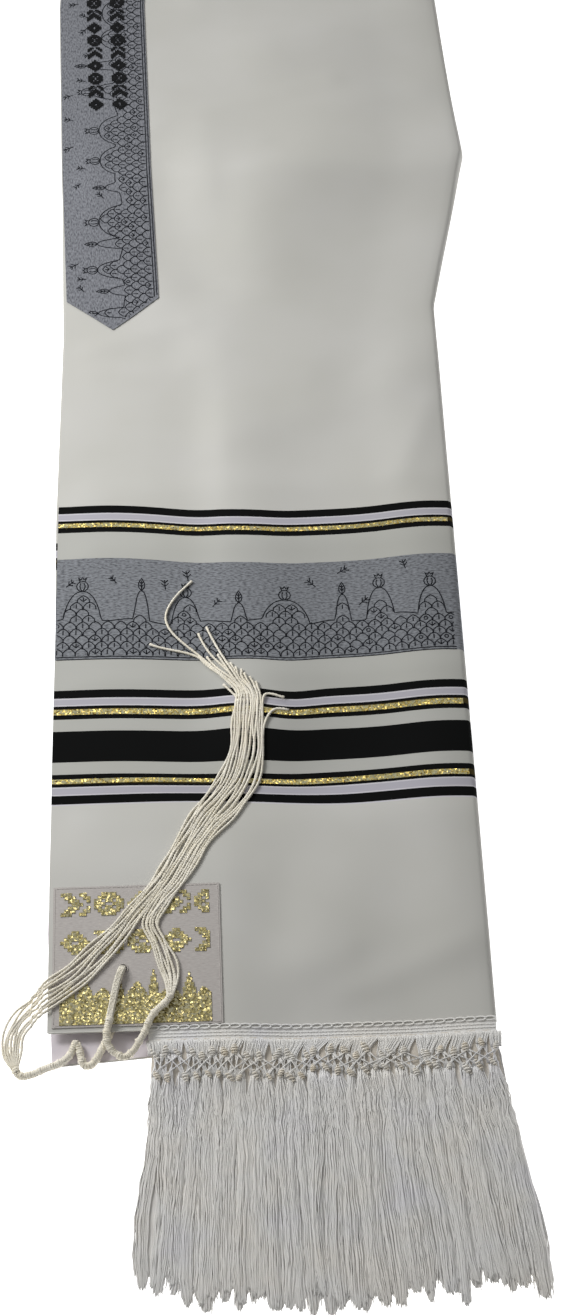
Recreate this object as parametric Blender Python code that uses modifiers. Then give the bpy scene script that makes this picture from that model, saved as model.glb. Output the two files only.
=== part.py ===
"""A striped prayer shawl (tallit), folded once lengthwise and laid flat, as one solid for each sewn piece.

Metres, +Z up. "across" runs from the shawl's free long edges to its fold, along +X, and "along" runs from
the near hem to the far hem, along +Y. The origin lies on the surface under the middle of the cloth.
"""

import math
from collections import namedtuple

import bmesh
import bpy
from mathutils import Vector

# Cloth
CLOTH_LENGTH = 1.800
CLOTH_WIDTH = 0.600
FOLDED_WIDTH = CLOTH_WIDTH / 2
CLOTH_WALL = 0.0012
SEAM_GAP = 0.0003
PATCH_WALL = 0.0010
PATCH_STEP = PATCH_WALL + SEAM_GAP
BACK_REST = CLOTH_WALL / 2
FRONT_REST = 0.0034
FOLD_NOSE = 0.004
FOLD_RISE = 0.0036
FOLD_RISE_WIDTH = 0.060
BACK_SKEW = 0.022
CORNER_LIFT = 0.0049
CORNER_FADE_ACROSS = 0.052
CORNER_FADE_ALONG = 0.068
HEM_CALM = 0.050
CALM_EDGE = 0.080
CALM_FADE = 0.050
FANNED_FROM = 0.635
FANNED_TO = 1.190
EDGE_MARGIN = 0.001
WELD_DISTANCE = 0.00002

# Pieces sewn on the cloth
PATCH_INSET = 0.003
PATCH_WIDTH = 0.114
PATCH_LENGTH = 0.1055
UNDER_PATCH_SHIFT = 0.001
BAND_WIDTH = 0.075
BAND_INSET = 0.001
BAND_TIP = 0.620
BAND_SHOULDER = 0.652
EYELET_ACROSS = 0.051
EYELET_ALONG = 0.045
EYELET_RADIUS = 0.003
EYELET_SIDES = 12
CUT_MARGIN = 0.002

# Grid of the cloth
ROW_STEP = 0.038
EDGE_COLUMNS = (0.0, 0.038, BAND_INSET + BAND_WIDTH, 0.097, PATCH_INSET + PATCH_WIDTH + EDGE_MARGIN)
PATCH_ROW = PATCH_INSET + PATCH_LENGTH + EDGE_MARGIN
FRONT_STEPS = 7
FOLD_STEPS = 4
BACK_COLUMNS = (0.225, 0.150, 0.120, 0.060, 0.0)

# Fringe
STRIP_DEPTH = 0.010
FRINGE_START = 0.068
UNDER_FRINGE_START = 0.090
FRINGE_END = 0.299
FRONT_LOCKS = 56
UNDER_LOCKS = 32
FRONT_LOCK_HEIGHT = 0.0031
UNDER_LOCK_HEIGHT = 0.0012
UNDER_STRIP_HEIGHT = 0.0009
FRINGE_FLARE_LEFT = -0.012
FRINGE_FLARE_FOLD = 0.024
FRINGE_LENGTH_LEFT = 0.166
FRINGE_LENGTH_MIDDLE = 0.179
FRINGE_LENGTH_FOLD = 0.175
LOCK_RAGGED = (0.004, -0.006, 0.001, 0.006, -0.003, -0.008, 0.003, 0.005, -0.005, 0.000, 0.007)
LOCK_DROP = 0.045
LOCK_ROOT_SCALE = 0.5
UNDER_LOCK_SHORTER = 0.006

# Tassels (tzitzit): a wound cord of 4.2 mm, a knot, and eight strings
CORD_RADIUS = 0.0021
KNOT_SCALE = 1.5
STRINGS = 8
STRING_LIFT = 0.0014

OutlineRow = namedtuple("OutlineRow", "along left fold back_inset")
OUTLINE = (
    OutlineRow(0.000, 0.001, 0.300, 0.003),
    OutlineRow(0.100, 0.000, 0.300, -0.001),
    OutlineRow(0.210, -0.001, 0.300, 0.002),
    OutlineRow(0.450, -0.001, 0.300, -0.002),
    OutlineRow(0.635, 0.001, 0.300, -0.002),
    OutlineRow(0.797, -0.006, 0.335, 0.001),
    OutlineRow(1.005, -0.012, 0.324, 0.003),
    OutlineRow(1.190, -0.005, 0.306, -0.001),
    OutlineRow(1.400, 0.000, 0.300, 0.002),
    OutlineRow(1.800, 0.000, 0.300, 0.003),
)

Crease = namedtuple("Crease", "across along end_across end_along half_width height")
CREASES = (
    Crease(0.146, 0.235, 0.138, 0.520, 0.036, 0.0075),
    Crease(0.272, 0.080, 0.268, 0.560, 0.038, 0.0050),
    Crease(0.110, 0.775, 0.345, 0.800, 0.052, 0.0125),
    Crease(0.150, 0.700, 0.240, 0.870, 0.055, 0.0050),
    Crease(0.180, 0.050, 0.235, 0.165, 0.034, 0.0045),
    Crease(0.190, 0.565, 0.100, 0.595, 0.034, 0.0040),
    Crease(0.180, 0.940, 0.300, 0.985, 0.048, 0.0065),
    Crease(0.120, 1.060, 0.325, 1.045, 0.046, 0.0090),
    Crease(0.160, 1.180, 0.150, 1.420, 0.038, 0.0070),
    Crease(0.262, 1.240, 0.270, 1.640, 0.038, 0.0050),
    Crease(0.170, 1.740, 0.230, 1.600, 0.036, 0.0045),
)

LockRow = namedtuple("LockRow", "share scale")
FRONT_LOCK = (
    LockRow(0.11, 1.22),
    LockRow(0.20, 0.70),
    LockRow(0.42, 1.25),
    LockRow(0.78, 1.35),
    LockRow(1.00, 0.40),
)
FAR_LOCK = (LockRow(0.11, 1.20), LockRow(0.22, 0.70), LockRow(0.65, 1.12), LockRow(1.00, 0.35))
UNDER_LOCK = (LockRow(0.20, 0.85), LockRow(0.65, 1.10), LockRow(1.00, 0.35))
FRONT_LOCK_WIDTH = 0.0032
UNDER_LOCK_WIDTH = 0.0052
LOCK_THICKNESS = 0.0015
STRING_WIDTH = 0.0010

CordRow = namedtuple("CordRow", "across along height")
FRONT_CORD = (
    CordRow(0.0510, 0.0455, 0.0080),
    CordRow(0.0510, 0.0455, 0.0111),
    CordRow(0.0500, 0.0415, 0.0136),
    CordRow(0.0475, 0.0340, 0.0129),
    CordRow(0.0448, 0.0200, 0.0127),
    CordRow(0.0424, 0.0060, 0.0127),
    CordRow(0.0405, -0.0050, 0.0113),
    CordRow(0.0435, -0.0130, 0.0082),
    CordRow(0.0515, -0.0180, 0.0072),
    CordRow(0.0580, -0.0145, 0.0084),
    CordRow(0.0625, -0.0080, 0.0106),
    CordRow(0.0660, -0.0025, 0.0120),
    CordRow(0.0695, 0.0060, 0.0130),
    CordRow(0.0735, 0.0120, 0.0128),
    CordRow(0.0800, 0.0180, 0.0130),
    CordRow(0.0832, 0.0230, 0.0138),
)
UNDER_CORD = (
    CordRow(0.0510, 0.0271, 0.0016),
    CordRow(0.0510, 0.0271, 0.0041),
    CordRow(0.0502, 0.0237, 0.0052),
    CordRow(0.0470, 0.0120, 0.0050),
    CordRow(0.0430, 0.0010, 0.0050),
    CordRow(0.0385, -0.0080, 0.0050),
    CordRow(0.0345, -0.0165, 0.0052),
    CordRow(0.0300, -0.0225, 0.0052),
    CordRow(0.0250, -0.0215, 0.0052),
    CordRow(0.0225, -0.0125, 0.0052),
    CordRow(0.0198, -0.0065, 0.0053),
    CordRow(0.0158, -0.0150, 0.0052),
    CordRow(0.0090, -0.0205, 0.0052),
    CordRow(0.0000, -0.0232, 0.0040),
    CordRow(-0.0090, -0.0265, 0.0028),
    CordRow(-0.0165, -0.0275, 0.0029),
    CordRow(-0.0205, -0.0225, 0.0036),
)

StringRow = namedtuple("StringRow", "across along spread")
FRONT_FAN = (
    StringRow(0.0830, 0.0222, 0.0030),
    StringRow(0.0835, 0.0350, 0.0085),
    StringRow(0.0805, 0.0480, 0.0115),
    StringRow(0.0750, 0.0640, 0.0105),
    StringRow(0.0695, 0.0785, 0.0095),
)
UNDER_FAN = (
    StringRow(-0.0203, -0.0227, 0.0030),
    StringRow(-0.0225, -0.0110, 0.0115),
    StringRow(-0.0215, 0.0030, 0.0135),
    StringRow(-0.0150, 0.0150, 0.0155),
    StringRow(-0.0040, 0.0235, 0.0175),
    StringRow(0.0085, 0.0320, 0.0180),
    StringRow(0.0215, 0.0425, 0.0185),
    StringRow(0.0345, 0.0560, 0.0175),
    StringRow(0.0465, 0.0705, 0.0145),
    StringRow(0.0570, 0.0850, 0.0115),
)
BUNDLE = (
    StringRow(0.0725, 0.0960, 0.0205),
    StringRow(0.0825, 0.1100, 0.0205),
    StringRow(0.0910, 0.1270, 0.0210),
    StringRow(0.0990, 0.1430, 0.0230),
    StringRow(0.1090, 0.1600, 0.0255),
    StringRow(0.1210, 0.1750, 0.0270),
    StringRow(0.1320, 0.1930, 0.0270),
    StringRow(0.1380, 0.2140, 0.0250),
    StringRow(0.1400, 0.2360, 0.0230),
    StringRow(0.1415, 0.2570, 0.0190),
    StringRow(0.1400, 0.2660, 0.0182),
    StringRow(0.1335, 0.2760, 0.0180),
)

EndRow = namedtuple("EndRow", "rows across along bend_across bend_along")
UNDER_ENDS = (
    EndRow(10, 0.1232, 0.2722, 0.1290, 0.2640),
    EndRow(12, 0.0690, 0.3120, 0.1042, 0.2978),
    EndRow(12, 0.1052, 0.2993, 0.1170, 0.2852),
    EndRow(12, 0.1000, 0.3680, 0.0815, 0.3310),
    EndRow(12, 0.1110, 0.2985, 0.1200, 0.2868),
    EndRow(12, 0.1053, 0.3200, 0.1150, 0.2985),
    EndRow(12, 0.1180, 0.2990, 0.1240, 0.2885),
    EndRow(12, 0.1110, 0.3249, 0.1205, 0.3010),
)
FRONT_ENDS = (
    EndRow(12, 0.1275, 0.2905, 0.1310, 0.2838),
    EndRow(12, 0.1322, 0.2868, 0.1336, 0.2825),
    EndRow(12, 0.1352, 0.2838, 0.1357, 0.2812),
    EndRow(11, 0.1378, 0.2800, 0.1400, 0.2755),
    EndRow(11, 0.1415, 0.2765, 0.1435, 0.2725),
    EndRow(11, 0.1453, 0.2720, 0.1460, 0.2700),
    EndRow(9, 0.1665, 0.2580, 0.1520, 0.2600),
    EndRow(9, 0.1695, 0.2475, 0.1585, 0.2475),
)
PLAIN_FRONT_FAN = (
    StringRow(0.0830, 0.0222, 0.0030),
    StringRow(0.0860, 0.0400, 0.0100),
    StringRow(0.0960, 0.0800, 0.0120),
    StringRow(0.1080, 0.1200, 0.0125),
    StringRow(0.1190, 0.1650, 0.0125),
    StringRow(0.1270, 0.2150, 0.0120),
    StringRow(0.1330, 0.2600, 0.0130),
    StringRow(0.1350, 0.3000, 0.0160),
)
PLAIN_UNDER_FAN = (
    StringRow(-0.0203, -0.0227, 0.0030),
    StringRow(-0.0225, -0.0110, 0.0115),
    StringRow(-0.0205, 0.0020, 0.0150),
    StringRow(-0.0120, 0.0120, 0.0180),
    StringRow(-0.0010, 0.0230, 0.0150),
    StringRow(0.0160, 0.0500, 0.0125),
    StringRow(0.0400, 0.0950, 0.0120),
    StringRow(0.0620, 0.1450, 0.0120),
    StringRow(0.0770, 0.2050, 0.0125),
    StringRow(0.0830, 0.2600, 0.0150),
)


def fresh_scene():
    """Empties the scene and gives the collections for the shawl and for its helpers."""
    for leftover in list(bpy.data.objects):
        bpy.data.objects.remove(leftover)
    shawl = bpy.data.collections.new("prayer_shawl")
    helpers = bpy.data.collections.new("helpers")
    for collection in (shawl, helpers):
        bpy.context.scene.collection.children.link(collection)
    return shawl, helpers


SHAWL, HELPERS = fresh_scene()


def finish(name, colour, roughness, metallic=0.0):
    """A Principled material for one piece."""
    material = bpy.data.materials.new(name)
    material.use_nodes = True
    shader = material.node_tree.nodes["Principled BSDF"]
    shader.inputs["Base Color"].default_value = (*colour, 1.0)
    shader.inputs["Roughness"].default_value = roughness
    shader.inputs["Metallic"].default_value = metallic
    material.diffuse_color = (*colour, 1.0)
    return material


def smooth(share):
    """A soft step from 0 to 1."""
    share = min(max(share, 0.0), 1.0)
    return share * share * (3 - 2 * share)


def blend(low, high, share):
    return low + (high - low) * share


def place(across, along, height):
    """A point of the laid shawl in the part's frame."""
    return Vector((across - FOLDED_WIDTH / 2, along - CLOTH_LENGTH / 2, height))


def outline(along):
    """The left edge, the fold and the back layer's inset at one place along the shawl."""
    along = min(max(along, 0.0), CLOTH_LENGTH)
    for low, high in zip(OUTLINE, OUTLINE[1:]):
        if along <= high.along:
            share = (along - low.along) / (high.along - low.along)
            return tuple(blend(a, b, share) for a, b in zip(low[1:], high[1:]))
    return OUTLINE[-1][1:]


def from_hem(along):
    """Distance from the nearer hem."""
    return min(along, CLOTH_LENGTH - along)


def crease_height(across, along):
    """Sum of the soft ridges at one place."""
    total = 0.0
    for crease in CREASES:
        start = Vector((crease.across, crease.along))
        run = Vector((crease.end_across, crease.end_along)) - start
        offset = Vector((across, along)) - start
        share = min(max(offset.dot(run) / run.length_squared, 0.0), 1.0)
        distance = (offset - run * share).length / crease.half_width
        total += crease.height * math.exp(-distance * distance)
    return total


def front_height(across, along):
    """Middle of the front layer's wall above the floor."""
    left, fold, _ = outline(along)
    from_left = across - left
    corner = smooth(1 - (from_left - EDGE_COLUMNS[-1]) / CORNER_FADE_ACROSS)
    corner *= smooth(1 - (from_hem(along) - PATCH_ROW) / CORNER_FADE_ALONG)
    rise = smooth(1 - (fold - FOLD_NOSE - across) / FOLD_RISE_WIDTH)
    calm = smooth((from_left - CALM_EDGE) / CALM_FADE) * smooth(from_hem(along) / HEM_CALM) * (1 - corner)
    return FRONT_REST + CORNER_LIFT * corner + FOLD_RISE * rise + crease_height(across, along) * calm


def back_height(from_left, along):
    """Middle of the back layer's wall: flat on the floor, and one patch higher at the corners."""
    corner = from_left <= BACK_COLUMNS[2] and from_hem(along) <= PATCH_ROW + EDGE_MARGIN
    return BACK_REST + PATCH_STEP * corner


def cloth_rows():
    """Places along the cloth of its cross rows: one at each sewn edge and outline corner, evenly filled."""
    band_rows = (BAND_TIP, BAND_SHOULDER, CLOTH_LENGTH - BAND_SHOULDER, CLOTH_LENGTH - BAND_TIP)
    marks = {0.0, PATCH_ROW, CLOTH_LENGTH - PATCH_ROW, CLOTH_LENGTH, *band_rows}
    marks |= {row.along for row in OUTLINE if FANNED_FROM <= row.along <= FANNED_TO}
    marks = sorted(marks)
    rows = []
    for low, high in zip(marks, marks[1:]):
        steps = math.ceil((high - low) / ROW_STEP)
        rows += [blend(low, high, step / steps) for step in range(steps)]
    return rows + [CLOTH_LENGTH]


ROWS = cloth_rows()


def front_columns(along):
    """Places across the front layer of its long columns, from the left edge to the fold's bend."""
    left, fold, _ = outline(along)
    columns = [left + column for column in EDGE_COLUMNS]
    bend = fold - CLOTH_WALL / 2 - FOLD_NOSE
    columns += [blend(columns[-1], bend, (step + 1) / FRONT_STEPS) for step in range(FRONT_STEPS)]
    return columns


def cloth_section(along):
    """One cross row of the folded cloth: the front layer, the bend, then the back layer."""
    left, fold, back_inset = outline(along)
    front = [place(across, along, front_height(across, along)) for across in front_columns(along)]
    bend = fold - CLOTH_WALL / 2 - FOLD_NOSE
    half = (front_height(bend, along) - BACK_REST) / 2
    turn = []
    for step in range(1, FOLD_STEPS + 1):
        angle = math.pi / 2 - math.pi * step / FOLD_STEPS
        turn.append(place(bend + FOLD_NOSE * math.cos(angle), along, BACK_REST + half + half * math.sin(angle)))
    back = []
    for column in BACK_COLUMNS:
        across = left + back_inset + column
        skew = BACK_SKEW * (bend - across) / FOLDED_WIDTH
        back.append(place(across, along - skew, back_height(column, along)))
    return front + turn + back


def surface_height(across, along):
    """Top of the front layer's facets, as high as the patch where one is sewn on."""
    along = min(max(along, 0.0), CLOTH_LENGTH)
    upper = next(index for index in range(1, len(ROWS)) if along <= ROWS[index] + 1e-9)
    share_along = (along - ROWS[upper - 1]) / (ROWS[upper] - ROWS[upper - 1])
    heights = []
    for row in (ROWS[upper - 1], ROWS[upper]):
        columns = front_columns(row)
        inside = min(max(across, columns[0]), columns[-1])
        right = next(index for index in range(1, len(columns)) if inside <= columns[index] + 1e-9)
        share = (inside - columns[right - 1]) / (columns[right] - columns[right - 1])
        low, high = (front_height(columns[index], row) for index in (right - 1, right))
        heights.append(blend(low, high, share))
    top = blend(*heights, share_along) + CLOTH_WALL / 2
    on_patch = across <= EDGE_COLUMNS[-1] and from_hem(along) <= PATCH_ROW
    return top + PATCH_STEP * on_patch


def grid_object(name, sections, material, offset, wall, collection=SHAWL):
    """A sheet through rows of points, given its wall by Solidify."""
    columns, rows = len(sections[0]) - 1, len(sections) - 1
    sheet = bmesh.new()
    bmesh.ops.create_grid(sheet, x_segments=columns, y_segments=rows, size=1.0)
    for vert in sheet.verts:
        column = round((vert.co.x + 1) / 2 * columns)
        row = round((vert.co.y + 1) / 2 * rows)
        vert.co = sections[row][column]
    mesh = bpy.data.meshes.new(name)
    sheet.to_mesh(mesh)
    sheet.free()
    sheet_object = bpy.data.objects.new(name, mesh)
    collection.objects.link(sheet_object)
    mesh.materials.append(material)
    solidify = sheet_object.modifiers.new("wall", "SOLIDIFY")
    solidify.thickness = wall
    solidify.offset = offset
    solidify.use_even_offset = True
    return sheet_object


def boolean(target, tool, operation, tool_overlaps_itself=False):
    """A live Boolean on target; the tool becomes a hidden helper."""
    tool.hide_render = True
    tool.display_type = "WIRE"
    cut = target.modifiers.new(operation.lower(), "BOOLEAN")
    cut.operation = operation
    cut.solver = "EXACT"
    cut.use_self = tool_overlaps_itself
    cut.object = tool


def eyelet_cutter(name, along, floor, top):
    """A short upright cylinder for one eyelet."""
    hole = bmesh.new()
    bmesh.ops.create_cone(
        hole,
        cap_ends=True,
        segments=EYELET_SIDES,
        radius1=EYELET_RADIUS,
        radius2=EYELET_RADIUS,
        depth=top - floor,
    )
    mesh = bpy.data.meshes.new(name)
    hole.to_mesh(mesh)
    hole.free()
    cutter = bpy.data.objects.new(name, mesh)
    cutter.location = place(EYELET_ACROSS, along, (top + floor) / 2)
    HELPERS.objects.link(cutter)
    return cutter


def back_skew(across):
    return BACK_SKEW * (FOLDED_WIDTH - CLOTH_WALL / 2 - FOLD_NOSE - across) / FOLDED_WIDTH


def make_cloth():
    """The whole cloth, with an eyelet through each of its four corners."""
    wool = finish("white_wool", (0.60, 0.60, 0.57), 0.85)
    sections = [cloth_section(along) for along in ROWS]
    cloth = grid_object("shawl_cloth", sections, wool, 0.0, CLOTH_WALL)
    under_front = FRONT_REST + CORNER_LIFT - CLOTH_WALL
    over_front = FRONT_REST + CORNER_LIFT + CUT_MARGIN
    for end, along in (("near", EYELET_ALONG), ("far", CLOTH_LENGTH - EYELET_ALONG)):
        front_cutter = eyelet_cutter(f"front_eyelet_{end}", along, under_front, over_front)
        under_along = along - back_skew(EYELET_ACROSS)
        back_cutter = eyelet_cutter(f"back_eyelet_{end}", under_along, -CUT_MARGIN, under_front - CUT_MARGIN)
        boolean(cloth, front_cutter, "DIFFERENCE")
        boolean(cloth, back_cutter, "DIFFERENCE")


def make_neck_band():
    """The band (atarah) along the free edge, cut to a point at both ends."""
    satin = finish("grey_satin", (0.22, 0.23, 0.26), 0.55)
    height_step = CLOTH_WALL / 2 + SEAM_GAP
    sections = []
    for along in ROWS:
        if not BAND_SHOULDER - 1e-6 <= along <= CLOTH_LENGTH - BAND_SHOULDER + 1e-6:
            continue
        left = outline(along)[0]
        row = []
        for across in (BAND_INSET, EDGE_COLUMNS[1], EDGE_COLUMNS[2]):
            row.append(place(left + across, along, front_height(left + across, along) + height_step))
        sections.append(row)
    for row, tip in ((sections[0], BAND_TIP), (sections[-1], CLOTH_LENGTH - BAND_TIP)):
        middle = outline(tip)[0] + EDGE_COLUMNS[1]
        row[1] = place(middle, tip, front_height(middle, tip) + height_step)
    grid_object("neck_band", sections, satin, 1.0, PATCH_WALL)


def make_patch(end, side):
    """One corner patch: on the front layer's face, or on the back layer's underside."""
    satin = finish(f"patch_satin_{end}_{side}", (0.52, 0.50, 0.52), 0.5)
    near = end == "near"
    low = PATCH_INSET if near else CLOTH_LENGTH - PATCH_INSET - PATCH_LENGTH
    front = side == "front"
    height = FRONT_REST + CORNER_LIFT + CLOTH_WALL / 2 + SEAM_GAP if front else 0.0
    sections = []
    for along in (low, low + PATCH_LENGTH):
        row = []
        for across in (PATCH_INSET, PATCH_INSET + PATCH_WIDTH):
            if front:
                row.append(place(across, along, height))
            else:
                row.append(place(across + UNDER_PATCH_SHIFT, along - back_skew(across), height))
        sections.append(row)
    patch = grid_object(f"patch_{end}_{side}", sections, satin, 1.0, PATCH_WALL)
    along = EYELET_ALONG if near else CLOTH_LENGTH - EYELET_ALONG
    along -= 0.0 if front else back_skew(EYELET_ACROSS)
    top = height + PATCH_WALL + CUT_MARGIN
    cutter = eyelet_cutter(f"patch_eyelet_{end}_{side}", along, height - CUT_MARGIN, top)
    boolean(patch, cutter, "DIFFERENCE")


def swept_object(name, routes, material, profile=None, twist="Z_UP"):
    """Closed tubes along routes of (point, scale), as one mesh: a profile's outline, or a round cord."""
    curve = bpy.data.curves.new(name, "CURVE")
    curve.dimensions = "3D"
    curve.twist_mode = twist
    curve.use_fill_caps = True
    if profile:
        curve.bevel_mode = "OBJECT"
        curve.bevel_object = profile
    else:
        curve.bevel_depth = CORD_RADIUS
        curve.bevel_resolution = 1
    for route in routes:
        spline = curve.splines.new("POLY")
        spline.points.add(len(route) - 1)
        for point, (spot, scale) in zip(spline.points, route):
            point.co = (*spot, 1.0)
            point.radius = scale
    guide = bpy.data.objects.new(f"{name}_guide", curve)
    HELPERS.objects.link(guide)
    bpy.context.view_layer.update()
    graph = bpy.context.evaluated_depsgraph_get()
    mesh = bpy.data.meshes.new_from_object(guide.evaluated_get(graph))
    mesh.name = name
    bpy.data.objects.remove(guide)
    tubes = bmesh.new()
    tubes.from_mesh(mesh)
    bmesh.ops.remove_doubles(tubes, verts=tubes.verts, dist=WELD_DISTANCE)
    bmesh.ops.recalc_face_normals(tubes, faces=tubes.faces)
    tubes.to_mesh(mesh)
    tubes.free()
    mesh.materials.clear()
    mesh.materials.append(material)
    swept = bpy.data.objects.new(name, mesh)
    return swept


def lock_profile(name, width, thickness):
    """A three-sided outline, flat side down."""
    outline_curve = bpy.data.curves.new(name, "CURVE")
    outline_curve.dimensions = "2D"
    outline_curve.fill_mode = "NONE"
    spline = outline_curve.splines.new("POLY")
    spline.points.add(2)
    corners = ((-width / 2, -thickness / 2), (width / 2, -thickness / 2), (0.0, thickness / 2))
    for point, corner in zip(spline.points, corners):
        point.co = (*corner, 0.0, 1.0)
    spline.use_cyclic_u = True
    profile = bpy.data.objects.new(name, outline_curve)
    profile.hide_render = True
    profile.display_type = "WIRE"
    HELPERS.objects.link(profile)
    return profile


def make_fringe(end, side, count, stations, profile):
    """A crocheted strip off one hem, with locks of yarn hanging from it as one solid."""
    yarn = finish(f"white_yarn_{end}_{side}", (0.60, 0.60, 0.58), 0.9)
    front = side == "front"
    outward = -1 if end == "near" else 1
    hem = 0.0 if end == "near" else CLOTH_LENGTH
    start = FRINGE_START if front else UNDER_FRINGE_START

    def hem_point(across, distance):
        along = hem + outward * (SEAM_GAP + distance)
        if not front:
            return place(across, along - back_skew(across), UNDER_STRIP_HEIGHT)
        cloth_top = surface_height(across, hem) - PATCH_STEP * (across <= EDGE_COLUMNS[-1])
        return place(across, along, cloth_top - CLOTH_WALL / 2)

    columns = [start] + [column for column in front_columns(hem) if start < column < FRINGE_END] + [FRINGE_END]
    sections = [[hem_point(across, distance) for across in columns] for distance in (0.0, STRIP_DEPTH)]
    strip = grid_object(f"fringe_{end}_{side}", sections, yarn, 0.0, CLOTH_WALL)
    rest = FRONT_LOCK_HEIGHT if front else UNDER_LOCK_HEIGHT
    routes = []
    for index in range(count):
        share = (index + 0.5) / count
        across = blend(start, FRINGE_END, share)
        side_share = 2 * share - 1
        edge_length = FRINGE_LENGTH_LEFT if side_share < 0 else FRINGE_LENGTH_FOLD
        length = blend(FRINGE_LENGTH_MIDDLE, edge_length, side_share * side_share)
        length += LOCK_RAGGED[index % len(LOCK_RAGGED)] - (0.0 if front else UNDER_LOCK_SHORTER)
        root = hem_point(across, STRIP_DEPTH / 2)
        route = [(root, LOCK_ROOT_SCALE)]
        for station in stations:
            reach = length * station.share
            flare = blend(FRINGE_FLARE_LEFT, FRINGE_FLARE_FOLD, share) * station.share
            spot = hem_point(across, STRIP_DEPTH + reach) + Vector((flare, 0.0, 0.0))
            spot.z = blend(root.z, rest, smooth(reach / LOCK_DROP))
            route.append((spot, station.scale))
        routes.append(route)
    locks = swept_object(f"locks_{end}_{side}", routes, yarn, profile)
    HELPERS.objects.link(locks)
    boolean(strip, locks, "UNION")


def string_routes(fan, ends, order, total, bundle):
    """Centre lines of a tassel's eight strings in plan: its own fan, then the lanes of a shared bundle."""
    rows = list(fan) + list(bundle)
    routes = []
    for string in range(STRINGS):
        route = []
        followed = len(fan) + ends[string].rows if ends else len(rows)
        for index, row in enumerate(rows[:followed]):
            before, after = rows[max(index - 1, 0)], rows[min(index + 1, len(rows) - 1)]
            heading = Vector((after.across - before.across, after.along - before.along)).normalized()
            left = Vector((-heading.y, heading.x))
            shared = index >= len(fan)
            lane = (order * STRINGS + string) / (total * STRINGS - 1) if shared else string / (STRINGS - 1)
            route.append(Vector((row.across, row.along)) + left * row.spread * (0.5 - lane))
        if ends:
            end = ends[string]
            route += [Vector((end.bend_across, end.bend_along)), Vector((end.across, end.along))]
        routes.append(route)
    return routes


def lifted(route, root_height):
    """A string laid on what is under it: each point clears the surface of the two stretches that it ends."""
    heights = []
    for index in range(len(route)):
        stretch = []
        for other in (max(index - 1, 0), min(index + 1, len(route) - 1)):
            stretch += [route[index].lerp(route[other], step / 4) for step in range(5)]
        heights.append(max(floor_height(spot) for spot in stretch) + STRING_LIFT)
    heights[0] = root_height
    heights[1] = max(heights[1], blend(root_height, heights[2], 0.5))
    return heights


def floor_height(spot):
    """What a string lies on: the front layer with its patch, the back layer's bare hem, or the floor."""
    left = outline(spot.y)[0]
    if spot.x > left - EDGE_MARGIN and -EDGE_MARGIN < spot.y < CLOTH_LENGTH + EDGE_MARGIN:
        return surface_height(spot.x, spot.y)
    return 0.0


def make_tassel(end, side, cord, fan, ends, order, total, bundle, profile):
    """A tassel: the wound cord out of its eyelet, the knot, and the strings rooted in the knot."""
    cotton = finish(f"cream_wool_{end}_{side}", (0.52, 0.48, 0.40), 0.85)
    near = end == "near"
    far_shift = 0.0 if near or side == "front" else 2 * back_skew(EYELET_ACROSS)

    def to_end(along):
        return along if near else CLOTH_LENGTH - along

    wound = []
    for row in cord:
        along = to_end(row.along + far_shift * smooth(row.along / cord[0].along))
        wound.append((place(row.across, along, row.height), KNOT_SCALE if row is cord[-1] else 1.0))
    head = swept_object(f"tassel_{end}_{side}", [wound], cotton, twist="MINIMUM")
    SHAWL.objects.link(head)
    routes = []
    for plan in string_routes(fan, ends, order, total, bundle):
        plan = [Vector((point.x, to_end(point.y))) for point in plan]
        heights = lifted(plan, cord[-1].height)
        routes.append([(place(*point, height), 1.0) for point, height in zip(plan, heights)])
    strings = swept_object(f"strings_{end}_{side}", routes, cotton, profile)
    HELPERS.objects.link(strings)
    boolean(head, strings, "UNION", tool_overlaps_itself=True)


make_cloth()
make_neck_band()
for which_end in ("near", "far"):
    for which_side in ("front", "under"):
        make_patch(which_end, which_side)
front_profile = lock_profile("front_lock_profile", FRONT_LOCK_WIDTH, LOCK_THICKNESS)
under_profile = lock_profile("under_lock_profile", UNDER_LOCK_WIDTH, LOCK_THICKNESS)
string_profile = lock_profile("string_profile", STRING_WIDTH, STRING_WIDTH)
make_fringe("near", "front", FRONT_LOCKS, FRONT_LOCK, front_profile)
make_fringe("far", "front", FRONT_LOCKS, FAR_LOCK, front_profile)
make_fringe("near", "under", UNDER_LOCKS, UNDER_LOCK, under_profile)
make_fringe("far", "under", UNDER_LOCKS, UNDER_LOCK, under_profile)
make_tassel("near", "front", FRONT_CORD, FRONT_FAN, FRONT_ENDS, 1, 2, BUNDLE, string_profile)
make_tassel("near", "under", UNDER_CORD, UNDER_FAN, UNDER_ENDS, 0, 2, BUNDLE, string_profile)
make_tassel("far", "front", FRONT_CORD, PLAIN_FRONT_FAN, (), 0, 1, (), string_profile)
make_tassel("far", "under", UNDER_CORD, PLAIN_UNDER_FAN, (), 0, 1, (), string_profile)
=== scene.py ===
import math
import random
from collections import namedtuple

import bmesh
import bpy
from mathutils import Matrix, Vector
from mathutils.geometry import interpolate_bezier


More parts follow.
